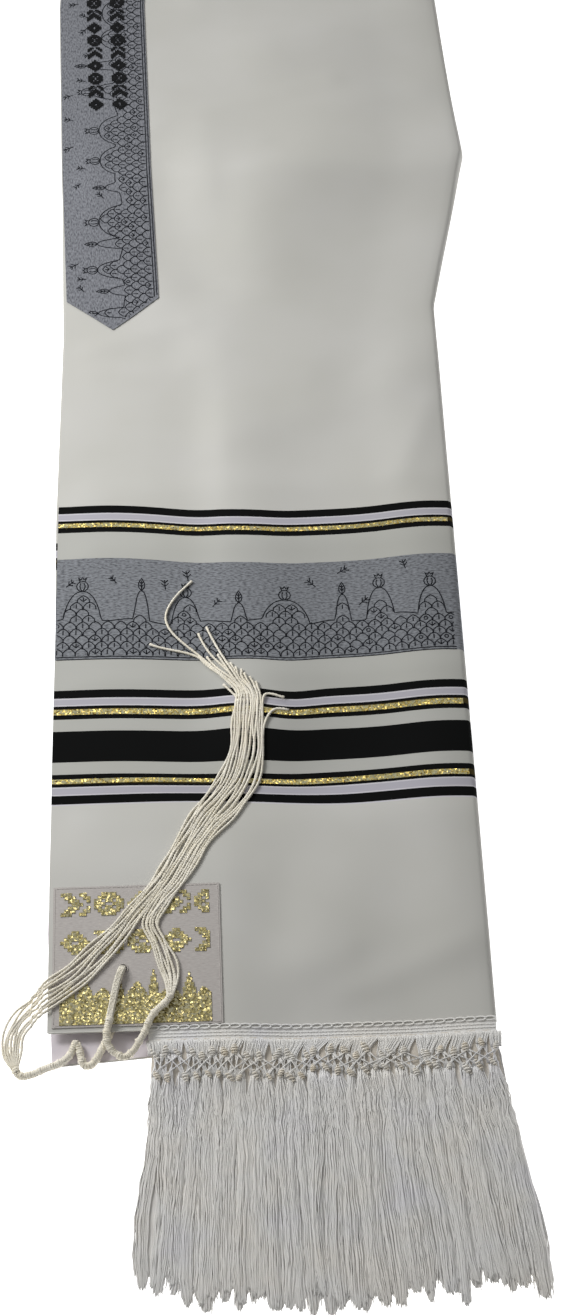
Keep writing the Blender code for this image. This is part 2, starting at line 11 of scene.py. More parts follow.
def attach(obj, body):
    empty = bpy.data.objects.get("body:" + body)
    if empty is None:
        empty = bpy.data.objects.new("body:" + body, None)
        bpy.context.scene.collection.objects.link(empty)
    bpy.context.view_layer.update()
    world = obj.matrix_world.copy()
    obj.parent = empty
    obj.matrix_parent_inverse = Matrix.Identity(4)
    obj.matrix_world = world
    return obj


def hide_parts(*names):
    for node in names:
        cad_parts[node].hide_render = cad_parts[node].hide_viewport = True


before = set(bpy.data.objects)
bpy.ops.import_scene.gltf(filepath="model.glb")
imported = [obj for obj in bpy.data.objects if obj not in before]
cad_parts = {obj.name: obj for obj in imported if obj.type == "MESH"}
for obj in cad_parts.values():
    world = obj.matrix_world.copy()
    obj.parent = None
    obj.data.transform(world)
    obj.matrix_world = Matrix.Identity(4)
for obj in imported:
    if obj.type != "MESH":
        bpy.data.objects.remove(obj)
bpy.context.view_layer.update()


# ---------------------------------------------------------------------------------------------------------
# Camera: it stands beyond the near fringe and looks down along the shawl.
camera_data = bpy.data.cameras.new("camera")
camera_data.lens = 65.703
camera = bpy.data.objects.new("camera", camera_data)
camera.location = (-0.00053, -1.58241, 1.46944)
camera.rotation_euler = [math.radians(degrees) for degrees in (33.757, 0.489, -1.806)]
bpy.context.scene.collection.objects.link(camera)
bpy.context.scene.camera = camera


# ---------------------------------------------------------------------------------------------------------
# Studio: a white table top that glows evenly, so that it stays pure white without a shadow, under a soft
# lamp at the left of the near end and a window beyond the far end. The picture keeps the colours as they
# are lit, without a film curve.
bpy.context.scene.view_settings.view_transform = "Standard"


def linear(hex_colour):
    """An sRGB hex colour as linear red, green, blue and alpha."""
    parts = [int(hex_colour[index:index + 2], 16) / 255 for index in (0, 2, 4)]
    return (*(part / 12.92 if part <= 0.04045 else ((part + 0.055) / 1.055) ** 2.4 for part in parts), 1.0)


def add(tree, kind, sockets=None, stops=(), **settings):
    """A node with its settings; each socket takes a value, or the output that feeds it."""
    node = tree.nodes.new(kind)
    for name, value in settings.items():
        setattr(node, name, value)
    for name, value in (sockets or {}).items():
        if isinstance(value, bpy.types.NodeSocket):
            tree.links.new(value, node.inputs[name])
        else:
            node.inputs[name].default_value = value
    for index, (position, colour) in enumerate(stops):
        elements = node.color_ramp.elements
        stop = elements[index] if index < 2 else elements.new(position)
        stop.position = position
        stop.color = colour
    return node


def new_material(name):
    """An empty node material, with its tree and its shader."""
    material = bpy.data.materials.new(name)
    material.use_nodes = True
    return material, material.node_tree, material.node_tree.nodes["Principled BSDF"]


def shape_object(name, shape, material):
    """A bmesh made into an object of the scene."""
    mesh = bpy.data.meshes.new(name)
    shape.to_mesh(mesh)
    shape.free()
    mesh.materials.append(material)
    piece = bpy.data.objects.new(name, mesh)
    bpy.context.scene.collection.objects.link(piece)
    return piece


FLOOR_HEIGHT = -0.0003
FLOOR_HALF = 9.0
floor_paint, tree, shader = new_material("matt_white_table_top")
shader.inputs["Roughness"].default_value = 0.9
shader.inputs["Specular IOR Level"].default_value = 0.1
shader.inputs["Base Color"].default_value = linear("F4F4F4")
shader.inputs["Emission Color"].default_value = linear("FFFFFF")
shader.inputs["Emission Strength"].default_value = 1.0
floor_shape = bmesh.new()
bmesh.ops.create_grid(floor_shape, x_segments=1, y_segments=1, size=FLOOR_HALF)
bmesh.ops.translate(floor_shape, vec=(0.0, 0.0, FLOOR_HEIGHT), verts=floor_shape.verts)
floor = shape_object("floor", floor_shape, floor_paint)


def soft_lamp(name, place, aim, size, power):
    """A square soft lamp at a place, turned to a point."""
    lamp = bpy.data.lights.new(name, "AREA")
    lamp.energy = power
    lamp.size = size
    holder = bpy.data.objects.new(name, lamp)
    holder.location = place
    holder.rotation_euler = (Vector(aim) - Vector(place)).to_track_quat("-Z", "Y").to_euler()
    bpy.context.scene.collection.objects.link(holder)


soft_lamp("side_lamp", (-0.80, -0.34, 0.68), (0.0, -0.38, 0.0), 0.40, 8.2)
soft_lamp("window_lamp", (-0.90, 2.40, 1.50), (0.0, -0.40, 0.0), 0.80, 27.0)
room = bpy.data.worlds.new("room")
room.use_nodes = True
room.node_tree.nodes["Background"].inputs["Color"].default_value = linear("FFFFFF")
room.node_tree.nodes["Background"].inputs["Strength"].default_value = 0.275
bpy.context.scene.world = room


# ---------------------------------------------------------------------------------------------------------
# The cloth: one rectangle of fine white wool, 60 by 180 cm, woven with its black, white and gilt stripes
# and two grey figured bands. It is folded once lengthwise, and its layers lie loosely on each other, with
# soft ridges where they were folded away.
CLOTH_LENGTH = 1.800
CLOTH_WIDTH = 0.600
FOLDED_WIDTH = CLOTH_WIDTH / 2
SOLID_WALL = 0.0012
CLOTH_WALL = 0.0006
SEAM_GAP = 0.0003
PATCH_WALL = 0.0010
BACK_REST = SOLID_WALL / 2
FRONT_REST = 0.0034
FOLD_NOSE = 0.004
FOLD_RISE = 0.0036
FOLD_RISE_WIDTH = 0.060
BACK_SKEW = 0.022
CORNER_LIFT = 0.0049
CORNER_FADE_ACROSS = 0.052
CORNER_FADE_ALONG = 0.068
CORNER_WIDTH = 0.118
CORNER_LENGTH = 0.112
EYELET_ACROSS = 0.051
EYELET_ALONG = 0.045
EYELET_RADIUS = 0.003
HEM_CALM = 0.050
CALM_EDGE = 0.080
CALM_FADE = 0.050

OutlineRow = namedtuple("OutlineRow", "along left fold back_inset")
OUTLINE = (
    OutlineRow(0.000, 0.001, 0.300, 0.003),
    OutlineRow(0.100, 0.000, 0.300, -0.001),
    OutlineRow(0.210, -0.001, 0.300, 0.002),
    OutlineRow(0.450, -0.001, 0.300, -0.002),
    OutlineRow(0.635, 0.001, 0.300, -0.002),
    OutlineRow(0.797, -0.006, 0.335, 0.001),
    OutlineRow(1.005, -0.012, 0.324, 0.003),
    OutlineRow(1.190, -0.005, 0.306, -0.001),
    OutlineRow(1.400, 0.000, 0.300, 0.002),
    OutlineRow(1.800, 0.000, 0.300, 0.003),
)
Crease = namedtuple("Crease", "across along end_across end_along half_width height")
CREASES = (
    Crease(0.146, 0.235, 0.138, 0.520, 0.036, 0.0075),
    Crease(0.272, 0.080, 0.268, 0.560, 0.038, 0.0050),
    Crease(0.110, 0.775, 0.345, 0.800, 0.052, 0.0125),
    Crease(0.150, 0.700, 0.240, 0.870, 0.055, 0.0050),
    Crease(0.180, 0.050, 0.235, 0.165, 0.034, 0.0045),
    Crease(0.190, 0.565, 0.100, 0.595, 0.034, 0.0040),
    Crease(0.180, 0.940, 0.300, 0.985, 0.048, 0.0065),
    Crease(0.120, 1.060, 0.325, 1.045, 0.046, 0.0090),
    Crease(0.160, 1.180, 0.150, 1.420, 0.038, 0.0070),
    Crease(0.262, 1.240, 0.270, 1.640, 0.038, 0.0050),
    Crease(0.170, 1.740, 0.230, 1.600, 0.036, 0.0045),
)
FINE_CREASES = (
    Crease(0.020, 0.160, 0.300, 0.158, 0.016, 0.0010),
    Crease(0.000, 0.280, 0.300, 0.282, 0.008, 0.0007),
    Crease(0.000, 0.400, 0.300, 0.402, 0.013, 0.0012),
    Crease(0.000, 0.452, 0.300, 0.456, 0.016, 0.0012),
    Crease(0.020, 0.782, 0.085, 0.778, 0.046, 0.0030),
    Crease(0.120, 0.778, 0.122, 0.676, 0.030, -0.0043),
    Crease(0.060, 0.786, 0.345, 0.779, 0.016, 0.0026),
    Crease(0.150, 0.712, 0.310, 0.684, 0.036, 0.0036),
    Crease(0.078, 0.688, 0.300, 0.616, 0.018, -0.0016),
    Crease(0.090, 0.648, 0.300, 0.582, 0.030, 0.0024),
    Crease(0.142, 0.300, 0.140, 0.520, 0.036, -0.0038),
    Crease(0.195, 0.085, 0.232, 0.160, 0.034, -0.0022),
    Crease(0.013, 0.597, 0.100, 0.624, 0.010, 0.0009),
    Crease(0.005, 0.577, 0.093, 0.573, 0.010, 0.0008),
    Crease(0.082, 0.821, 0.164, 0.820, 0.009, 0.0008),
    Crease(0.078, 0.858, 0.226, 0.895, 0.011, 0.0010),
    Crease(0.291, 0.530, 0.262, 0.461, 0.012, 0.0010),
    Crease(0.130, 0.505, 0.250, 0.545, 0.020, 0.0012),
    Crease(0.200, 0.022, 0.290, 0.060, 0.012, 0.0012),
    Crease(0.150, 0.118, 0.205, 0.060, 0.011, 0.0009),
    Crease(0.120, 0.850, 0.300, 0.880, 0.020, 0.0016),
    Crease(0.110, 1.130, 0.300, 1.120, 0.018, 0.0014),
    Crease(0.000, 1.345, 0.300, 1.350, 0.014, 0.0012),
    Crease(0.000, 1.402, 0.300, 1.398, 0.013, 0.0012),
    Crease(0.040, 1.520, 0.290, 1.516, 0.008, 0.0007),
    Crease(0.150, 1.660, 0.280, 1.700, 0.016, 0.0012),
)


def smooth(share):
    """A soft step from 0 to 1."""
    share = min(max(share, 0.0), 1.0)
    return share * share * (3 - 2 * share)


def blend(low, high, share):
    return low + (high - low) * share


def place(across, along, height):
    """A point of the laid shawl in the frame of the part."""
    return Vector((across - FOLDED_WIDTH / 2, along - CLOTH_LENGTH / 2, height))


def outline(along):
    """The left edge, the fold and the back layer's inset at one place along the shawl."""
    along = min(max(along, 0.0), CLOTH_LENGTH)
    for low, high in zip(OUTLINE, OUTLINE[1:]):
        if along <= high.along:
            share = (along - low.along) / (high.along - low.along)
            return tuple(blend(a, b, share) for a, b in zip(low[1:], high[1:]))
    return OUTLINE[-1][1:]


def from_hem(along):
    """Distance from the nearer hem."""
    return min(along, CLOTH_LENGTH - along)


def ridges(creases, across, along):
    """Height of the soft ridges at one place."""
    total = 0.0
    for crease in creases:
        run = (crease.end_across - crease.across, crease.end_along - crease.along)
        offset = (across - crease.across, along - crease.along)
        share = (offset[0] * run[0] + offset[1] * run[1]) / (run[0] ** 2 + run[1] ** 2)
        share = min(max(share, 0.0), 1.0)
        distance = math.hypot(offset[0] - run[0] * share, offset[1] - run[1] * share) / crease.half_width
        if distance < 3.5:
            total += crease.height * math.exp(-distance * distance)
    return total


def front_height(across, along):
    """Middle of the solid front layer above the floor, with the finer creases."""
    left, fold, _ = outline(along)
    from_left = across - left
    corner = smooth(1 - (from_left - CORNER_WIDTH) / CORNER_FADE_ACROSS)
    corner *= smooth(1 - (from_hem(along) - CORNER_LENGTH) / CORNER_FADE_ALONG)
    rise = smooth(1 - (fold - FOLD_NOSE - across) / FOLD_RISE_WIDTH)
    calm = smooth((from_left - CALM_EDGE) / CALM_FADE) * smooth(from_hem(along) / HEM_CALM) * (1 - corner)
    height = FRONT_REST + CORNER_LIFT * corner + FOLD_RISE * rise + ridges(CREASES, across, along) * calm
    edge_calm = smooth(from_left / 0.030) * smooth(from_hem(along) / 0.030) * (1 - corner)
    return height + ridges(FINE_CREASES, across, along) * edge_calm


def front_top(across, along):
    """Face of the front layer."""
    return front_height(across, along) + SOLID_WALL / 2


def weave_shift(across, along):
    """How far the weft has slipped along the cloth at one place: most at the free edge, with a dip inside it."""
    distance = from_hem(along)
    low = smooth((0.205 - distance) / 0.035)
    slip = 0.005 + 0.005 * smooth((distance - 0.27) / 0.12) + 0.003 * low
    slip *= smooth(1 - (across - blend(0.03, 0.08, low)) / blend(0.12, 0.15, low))
    dip = 0.0012 + 0.0030 * math.exp(-((distance - 0.262) / 0.035) ** 2)
    dip *= math.exp(-((across - 0.170) / 0.022) ** 2) * (1 - low)
    return (slip - dip) * smooth((0.56 - distance) / 0.10) * smooth((distance - 0.11) / 0.04)


FRONT_CELLS = 54
FOLD_CELLS = 8
BACK_CELLS = 30
LONG_CELLS = 330


def cloth_row(along):
    """One cross row of the folded cloth, as (point, place across the flat cloth, place along it)."""
    left, fold, back_inset = outline(along)
    bend = fold - SOLID_WALL / 2 - FOLD_NOSE
    row = []
    for step in range(FRONT_CELLS + 1):
        across = blend(left, bend, step / FRONT_CELLS)
        flat = step / FRONT_CELLS * (FOLDED_WIDTH - FOLD_NOSE)
        row.append((place(across, along, front_top(across, along)), flat, along - weave_shift(flat, along)))
    half = front_top(bend, along) / 2
    for step in range(1, FOLD_CELLS + 1):
        angle = math.pi / 2 - math.pi * step / FOLD_CELLS
        nose = (FOLD_NOSE + SOLID_WALL / 2) * math.cos(angle)
        flat = FOLDED_WIDTH - FOLD_NOSE + 2 * FOLD_NOSE * step / FOLD_CELLS
        row.append((place(bend + nose, along, half + half * math.sin(angle)), flat, along))
    for step in range(1, BACK_CELLS + 1):
        across = blend(bend, left + back_inset, step / BACK_CELLS)
        flat = blend(FOLDED_WIDTH + FOLD_NOSE, CLOTH_WIDTH, step / BACK_CELLS)
        skew = BACK_SKEW * (bend - across) / FOLDED_WIDTH
        lift = smooth((flat - 0.472) / 0.010) * smooth((0.122 - from_hem(along)) / 0.010)
        height = (PATCH_WALL + SEAM_GAP) * lift
        row.append((place(across, along - skew, height), flat, along))
    return row


def sheet_object(name, rows, wall, material, even=True):
    """A closed sheet through rows of (point, u, v), its wall given downwards by Solidify."""
    columns, lines = len(rows[0]) - 1, len(rows) - 1
    sheet = bmesh.new()
    uv_map = sheet.loops.layers.uv.new("weave")
    bmesh.ops.create_grid(sheet, x_segments=columns, y_segments=lines, size=1.0)
    spots = {}
    for vert in sheet.verts:
        column = round((vert.co.x + 1) / 2 * columns)
        line = round((vert.co.y + 1) / 2 * lines)
        spots[vert] = rows[line][column]
    for face in sheet.faces:
        face.smooth = True
        for loop in face.loops:
            loop[uv_map].uv = spots[loop.vert][1:]
    for vert, spot in spots.items():
        vert.co = spot[0]
    piece = shape_object(name, sheet, material)
    wall_modifier = piece.modifiers.new("wall", "SOLIDIFY")
    wall_modifier.thickness = wall
    wall_modifier.offset = -1.0
    wall_modifier.use_even_offset = even
    return baked(piece)


def baked(piece):
    """The piece with its modifiers applied, and its edges sharp where faces meet steeply."""
    bpy.context.view_layer.update()
    graph = bpy.context.evaluated_depsgraph_get()
    mesh = bpy.data.meshes.new_from_object(piece.evaluated_get(graph), preserve_all_data_layers=True, depsgraph=graph)
    piece.modifiers.clear()
    piece.data = mesh
    mesh.set_sharp_from_angle(angle=math.radians(50))
    return piece


# The plain cloth between the stripe groups is coloured a greyer white: painted shade, standing in for the soft relief
# beside the stripes.
BLACK, WHITE, PAINTED_SHADE, GILT, GREY = "090A0A", "CECDC8", "BDBDB8", "4A4020", "8F9297"
EDGE, LILAC = "D2D0D6", "B9B7C0"
Stripe = namedtuple("Stripe", "start colour")
STRIPES = (
    Stripe(0.1689, EDGE), Stripe(0.1697, BLACK), Stripe(0.1774, EDGE), Stripe(0.1785, LILAC),
    Stripe(0.1847, EDGE), Stripe(0.1857, BLACK), Stripe(0.1882, GILT), Stripe(0.1924, BLACK),
    Stripe(0.1973, PAINTED_SHADE), Stripe(0.2075, BLACK), Stripe(0.2334, PAINTED_SHADE), Stripe(0.2433, BLACK),
    Stripe(0.2475, GILT), Stripe(0.2520, BLACK), Stripe(0.2543, EDGE), Stripe(0.2553, LILAC),
    Stripe(0.2602, EDGE), Stripe(0.2612, BLACK), Stripe(0.2679, EDGE), Stripe(0.2687, PAINTED_SHADE),
    Stripe(0.2940, GREY), Stripe(0.3813, PAINTED_SHADE), Stripe(0.4060, EDGE), Stripe(0.4068, BLACK),
    Stripe(0.4117, GILT), Stripe(0.4154, BLACK), Stripe(0.4178, EDGE), Stripe(0.4188, LILAC),
    Stripe(0.4234, EDGE), Stripe(0.4244, BLACK), Stripe(0.4308, WHITE),
)
STRIPES_FROM, STRIPES_TO = 0.160, 0.450
BAND_LOW, BAND_HIGH = 0.2940, 0.3813

# Fine tabby wool: matt and soft, with a faintly uneven white.
wool, tree, shader = new_material("fine_tabby_wool")
weave = add(tree, "ShaderNodeUVMap", uv_map="weave")
split = add(tree, "ShaderNodeSeparateXYZ", {"Vector": weave.outputs["UV"]})
mirrored = add(tree, "ShaderNodeMath", {0: CLOTH_LENGTH, 1: split.outputs["Y"]}, operation="SUBTRACT")
hem_distance = add(tree, "ShaderNodeMath", {0: split.outputs["Y"], 1: mirrored.outputs[0]}, operation="MINIMUM")
stripe_place = add(
    tree,
    "ShaderNodeMapRange",
    {"Value": hem_distance.outputs[0], "From Min": STRIPES_FROM, "From Max": STRIPES_TO},
)
span = STRIPES_TO - STRIPES_FROM
colour_stops = [(0.0, linear(WHITE))] + [((row.start - STRIPES_FROM) / span, linear(row.colour)) for row in STRIPES]
stripe_colour = add(tree, "ShaderNodeValToRGB", {"Fac": stripe_place.outputs[0]}, stops=colour_stops)
stripe_colour.color_ramp.interpolation = "CONSTANT"
cloud = add(tree, "ShaderNodeTexNoise", {"Vector": weave.outputs["UV"], "Scale": 9.0, "Detail": 3.0})
cloud_tint = add(
    tree,
    "ShaderNodeValToRGB",
    {"Fac": cloud.outputs["Fac"]},
    stops=((0.35, linear("F9F9F7")), (0.65, linear("FFFFFF"))),
)
tinted = add(
    tree,
    "ShaderNodeMix",
    {0: 1.0, 6: stripe_colour.outputs["Color"], 7: cloud_tint.outputs["Color"]},
    data_type="RGBA",
    blend_type="MULTIPLY",
)
# The grey bands are woven from slubbed cotton: short dark streaks lie along its weft.
in_band = add(
    tree,
    "ShaderNodeValToRGB",
    {"Fac": stripe_place.outputs[0]},
    stops=[
        (0.0, linear("000000")),
        ((BAND_LOW - STRIPES_FROM) / span, linear("FFFFFF")),
        ((BAND_HIGH - STRIPES_FROM) / span, linear("000000")),
    ],
)
in_band.color_ramp.interpolation = "CONSTANT"
slub_place = add(tree, "ShaderNodeMapping", {"Vector": weave.outputs["UV"], "Scale": (330.0, 900.0, 1.0)})
slubs = add(tree, "ShaderNodeTexNoise", {"Vector": slub_place.outputs["Vector"], "Scale": 1.0, "Detail": 2.0})
slub_tint = add(
    tree,
    "ShaderNodeValToRGB",
    {"Fac": slubs.outputs["Fac"]},
    stops=((0.32, linear("A6A6A8")), (0.50, linear("E6E6E6")), (0.66, linear("FFFFFF"))),
)
slubbed = add(
    tree,
    "ShaderNodeMix",
    {0: in_band.outputs["Color"], 6: tinted.outputs[2], 7: linear("FFFFFF")},
    data_type="RGBA",
)
band_cloth = add(
    tree,
    "ShaderNodeMix",
    {0: 1.0, 6: linear(GREY), 7: slub_tint.outputs["Color"]},
    data_type="RGBA",
    blend_type="MULTIPLY",
)
tree.links.new(band_cloth.outputs[2], slubbed.inputs[7])
# The back layer's own corner shows beyond the front hem: it is faced with the lilac grey satin of its patch.
past_facing = add(tree, "ShaderNodeMath", {0: split.outputs["X"], 1: 0.4845}, operation="GREATER_THAN")
beside_hem = add(tree, "ShaderNodeMath", {0: hem_distance.outputs[0], 1: 0.112}, operation="LESS_THAN")
on_facing = add(tree, "ShaderNodeMath", {0: past_facing.outputs[0], 1: beside_hem.outputs[0]}, operation="MULTIPLY")
faced = add(
    tree,
    "ShaderNodeMix",
    {0: on_facing.outputs[0], 6: slubbed.outputs[2], 7: linear("E8E1E7")},
    data_type="RGBA",
)
tree.links.new(faced.outputs[2], shader.inputs["Base Color"])
shader.inputs["Roughness"].default_value = 0.9
shader.inputs["Specular IOR Level"].default_value = 0.12


def make_punch():
    """Four short upright cylinders, one for each eyelet of the two layers."""
    shape = bmesh.new()
    skew = BACK_SKEW * (FOLDED_WIDTH - SOLID_WALL / 2 - FOLD_NOSE - EYELET_ACROSS) / FOLDED_WIDTH
    for along in (EYELET_ALONG, CLOTH_LENGTH - EYELET_ALONG):
        for at, low, high in ((along, 0.0052, 0.0150), (along - skew, -0.0020, 0.0045)):
            eyelet = bmesh.ops.create_cone(
                shape, cap_ends=True, segments=24, radius1=EYELET_RADIUS, radius2=EYELET_RADIUS, depth=high - low
            )
            bmesh.ops.translate(shape, vec=place(EYELET_ACROSS, at, (low + high) / 2), verts=eyelet["verts"])
    return shape_object("eyelet_punch", shape, wool)


def punched(piece):
    """The piece with the eyelets cut through it."""
    cut = piece.modifiers.new("eyelets", "BOOLEAN")
    cut.operation = "DIFFERENCE"
    cut.solver = "FAST"
    cut.object = punch
    return baked(piece)


punch = make_punch()
cloth_rows = [cloth_row(CLOTH_LENGTH * row / LONG_CELLS) for row in range(LONG_CELLS + 1)]
cloth = punched(sheet_object("cloth", cloth_rows, CLOTH_WALL, wool))
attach(cloth, "root")
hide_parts("shawl_cloth")


# ---------------------------------------------------------------------------------------------------------
# Hems: the cloth's short ends, and the short ends of both layers' corners, are rolled twice and sewn down,
# so a small round bead of the same wool runs along each.
HEM_RADIUS = 0.0007
HEM_STEP = 0.004


def outline_profile(name, corners):
    """A closed outline that a yarn or a line is swept from, its first side lying down."""
    curve = bpy.data.curves.new(name, "CURVE")
    curve.dimensions = "2D"
    curve.fill_mode = "NONE"
    spline = curve.splines.new("POLY")
    spline.points.add(len(corners) - 1)
    for point, corner in zip(spline.points, corners):
        point.co = (*corner, 0.0, 1.0)
    spline.use_cyclic_u = True
    return bpy.data.objects.new(name, curve)


def round_corners(radius, sides, lobes=0, depth=0.0):
    """Corners of a round outline, or of one with lobes for its plies."""
    corners = []
    for side in range(sides):
        angle = 2 * math.pi * (side + 0.5) / sides - math.pi / 2
        reach = radius * (1 + depth * math.cos(lobes * angle))
        corners.append((reach * math.cos(angle), reach * math.sin(angle)))
    return corners


def swept(name, routes, material, corners, twist="MINIMUM"):
    """Closed yarns: an outline swept along routes of (point, scale, turn)."""
    profile = outline_profile(f"{name}_profile", corners)
    curve = bpy.data.curves.new(name, "CURVE")
    curve.dimensions = "3D"
    curve.twist_mode = twist
    curve.use_fill_caps = True
    curve.bevel_mode = "OBJECT"
    curve.bevel_object = profile
    for route in routes:
        spline = curve.splines.new("POLY")
        spline.points.add(len(route) - 1)
        for point, (spot, scale, turn) in zip(spline.points, route):
            point.co = (*spot, 1.0)
            point.radius = scale
            point.tilt = turn
    guide = bpy.data.objects.new(f"{name}_guide", curve)
    for helper in (profile, guide):
        bpy.context.scene.collection.objects.link(helper)
    bpy.context.view_layer.update()
    graph = bpy.context.evaluated_depsgraph_get()
    mesh = bpy.data.meshes.new_from_object(guide.evaluated_get(graph))
    for helper in (profile, guide):
        bpy.data.objects.remove(helper)
    yarns = bmesh.new()
    yarns.from_mesh(mesh)
    bmesh.ops.remove_doubles(yarns, verts=yarns.verts, dist=0.000004)
    bmesh.ops.recalc_face_normals(yarns, faces=yarns.faces)
    for face in yarns.faces:
        face.smooth = len(face.verts) == 4
    return shape_object(name, yarns, material)


def flowing(spots, step):
    """A smooth route through spots, with a point about every step."""
    route = []
    for index in range(len(spots) - 1):
        before, here = spots[max(index - 1, 0)], spots[index]
        there, after = spots[index + 1], spots[min(index + 2, len(spots) - 1)]
        count = max(round((there - here).length / step), 1)
        handles = here + (there - before) / 6, there - (after - here) / 6
        route += interpolate_bezier(here, *handles, there, count + 1)[:-1]
    return route + [spots[-1]]


hem_routes = []
for along in (0.0, CLOTH_LENGTH):
    left, fold, back_inset = outline(along)
    spots = []
    steps = round((fold - left) / HEM_STEP)
    for step in range(steps + 1):
        across = blend(left + 0.0008, fold - FOLD_NOSE, step / steps)
        spots.append((place(across, along, front_top(across, along) - HEM_RADIUS * 0.8), 1.0, 0.0))
    hem_routes.append(spots)
    under = []
    for step in range(steps + 1):
        across = blend(left + back_inset + 0.0008, fold - FOLD_NOSE, step / steps)
        skew = BACK_SKEW * (fold - FOLD_NOSE - across) / FOLDED_WIDTH
        lift = (PATCH_WALL + SEAM_GAP) * (across < CORNER_WIDTH)
        under.append((place(across, along - skew, lift + HEM_RADIUS), 1.0, 0.0))
    hem_routes.append(under)
hems = swept("hems", hem_routes, wool, round_corners(HEM_RADIUS, 6))
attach(hems, "root")


# ---------------------------------------------------------------------------------------------------------
# Gilt stripes: flat metal thread (lurex) woven loosely into the cloth. Each float of the thread tilts its
# own way, so the stripe is a narrow raised field of small bright facets.
GILT_RISE = 0.00035
GILT_FACET = 0.0011
GILT_STRIPES = ((0.1882, 0.1924), (0.2475, 0.2520), (0.4117, 0.4154))


def on_front(flat, woven, lift):
    """The point over a place of the front layer that is given as the cloth was woven."""
    left, fold, _ = outline(woven)
    bend = fold - SOLID_WALL / 2 - FOLD_NOSE
    across = left + flat / (FOLDED_WIDTH - FOLD_NOSE) * (bend - left)
    along = woven + weave_shift(flat, woven)
    return place(across, along, front_top(across, along) + lift)


def gilt_thread(name, tones_and_glints):
    """Metal thread in floats of about a millimetre, each with its own tilt and its own tone from dark to near white,
    partly the thread's uneven tone and partly painted glints and shade, so the field glitters.
    """
    material, tree, shader = new_material(name)
    spot = add(tree, "ShaderNodeTexCoord")
    floats = add(tree, "ShaderNodeTexVoronoi", {"Vector": spot.outputs["Object"], "Scale": 950.0, "Randomness": 1.0})
    glint = add(tree, "ShaderNodeSeparateColor", {"Color": floats.outputs["Color"]})
    stops = [(position, linear(tone)) for position, tone in tones_and_glints]
    colour = add(tree, "ShaderNodeValToRGB", {"Fac": glint.outputs["Red"]}, stops=stops)
    tilt = add(tree, "ShaderNodeMix", {0: 0.34, 6: (0.5, 0.5, 1.0, 1.0), 7: floats.outputs["Color"]}, data_type="RGBA")
    facing = add(tree, "ShaderNodeNormalMap", {"Color": tilt.outputs[2], "Strength": 1.0}, space="OBJECT")
    tree.links.new(colour.outputs["Color"], shader.inputs["Base Color"])
    tree.links.new(facing.outputs["Normal"], shader.inputs["Normal"])
    shader.inputs["Metallic"].default_value = 0.75
    shader.inputs["Roughness"].default_value = 0.33
    return material


# Tones of the floats, from dark to near white: partly the metal thread's own uneven tone, partly painted glints and
# shade.
WARM_GILT_AND_GLINTS = ((0.0, "746030"), (0.28, "BCA658"), (0.56, "E8DA92"), (0.82, "FFFBD0"))
gilt = gilt_thread("warm_gilt_thread", WARM_GILT_AND_GLINTS)


def lurex_field(name, cells_wide, cells_long, spot_of, is_worked, seed, material=gilt):
    """A raised field of small uneven facets; spot_of gives a corner's point, is_worked says which cells exist."""
    shuffle = random.Random(seed)
    field = bmesh.new()
    bmesh.ops.create_grid(field, x_segments=cells_wide, y_segments=cells_long, size=1.0)
    bare = []
    for face in field.faces:
        middle = face.calc_center_median()
        cell = (int((middle.x + 1) / 2 * cells_wide), int((middle.y + 1) / 2 * cells_long))
        if not is_worked(*cell):
            bare.append(face)
    bmesh.ops.delete(field, geom=bare, context="FACES")
    for vert in field.verts:
        column = (vert.co.x + 1) / 2 * cells_wide
        line = (vert.co.y + 1) / 2 * cells_long
        vert.co = spot_of(column, line) + Vector((0.0, 0.0, shuffle.uniform(-0.5, 0.5) * GILT_RISE))
    piece = shape_object(name, field, material)
    wall = piece.modifiers.new("wall", "SOLIDIFY")
    wall.thickness = GILT_RISE
    wall.offset = -1.0
    piece = baked(piece)
    for polygon in piece.data.polygons:
        polygon.use_smooth = False
    return piece


def make_gilt_stripe(name, low, high, seed):
    """One gilt stripe over the front layer."""
    width = FOLDED_WIDTH - FOLD_NOSE
    wide, deep = round(width / GILT_FACET), max(round((high - low) / GILT_FACET), 4)

    def corner(column, line):
        return on_front(width * column / wide, blend(low, high, line / deep), GILT_RISE + 0.0001)

    piece = lurex_field(name, wide, deep, corner, lambda column, line: True, seed)
    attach(piece, "root")
    return piece


for index, (low, high) in enumerate(GILT_STRIPES):
    make_gilt_stripe(f"gilt_stripe_near_{index + 1}", low, high, index)
    far_low, far_high = CLOTH_LENGTH - high, CLOTH_LENGTH - low
    make_gilt_stripe(f"gilt_stripe_far_{index + 1}", far_low, far_high, index + 3)


# ---------------------------------------------------------------------------------------------------------
# Figured bands: grey cotton bands woven into the cloth near each end. Their figure is a garden: a hedge of
# overlapping leaf scales with bushes that rise from it and end in pomegranates, floated in a dark fine yarn.
LINE_WIDTH = 0.0009
LINE_RISE = 0.00022
SCALE_WIDTH = 0.0094
SCALE_PITCH = 0.0056
HEDGE_FOOT = 0.0030
BAND_HEDGE = 0.033
FIGURE_MARGIN = 0.0012

ink, tree, shader = new_material("dark_cotton_float")
spot = add(tree, "ShaderNodeTexCoord")
slub = add(tree, "ShaderNodeTexNoise", {"Vector": spot.outputs["Object"], "Scale": 420.0, "Detail": 2.0})
ink_colour = add(
    tree,
    "ShaderNodeValToRGB",
    {"Fac": slub.outputs["Fac"]},
    stops=((0.35, linear("15171B")), (0.7, linear("33363D"))),
)
tree.links.new(ink_colour.outputs["Color"], shader.inputs["Base Color"])
shader.inputs["Roughness"].default_value = 0.8
shader.inputs["Specular IOR Level"].default_value = 0.15


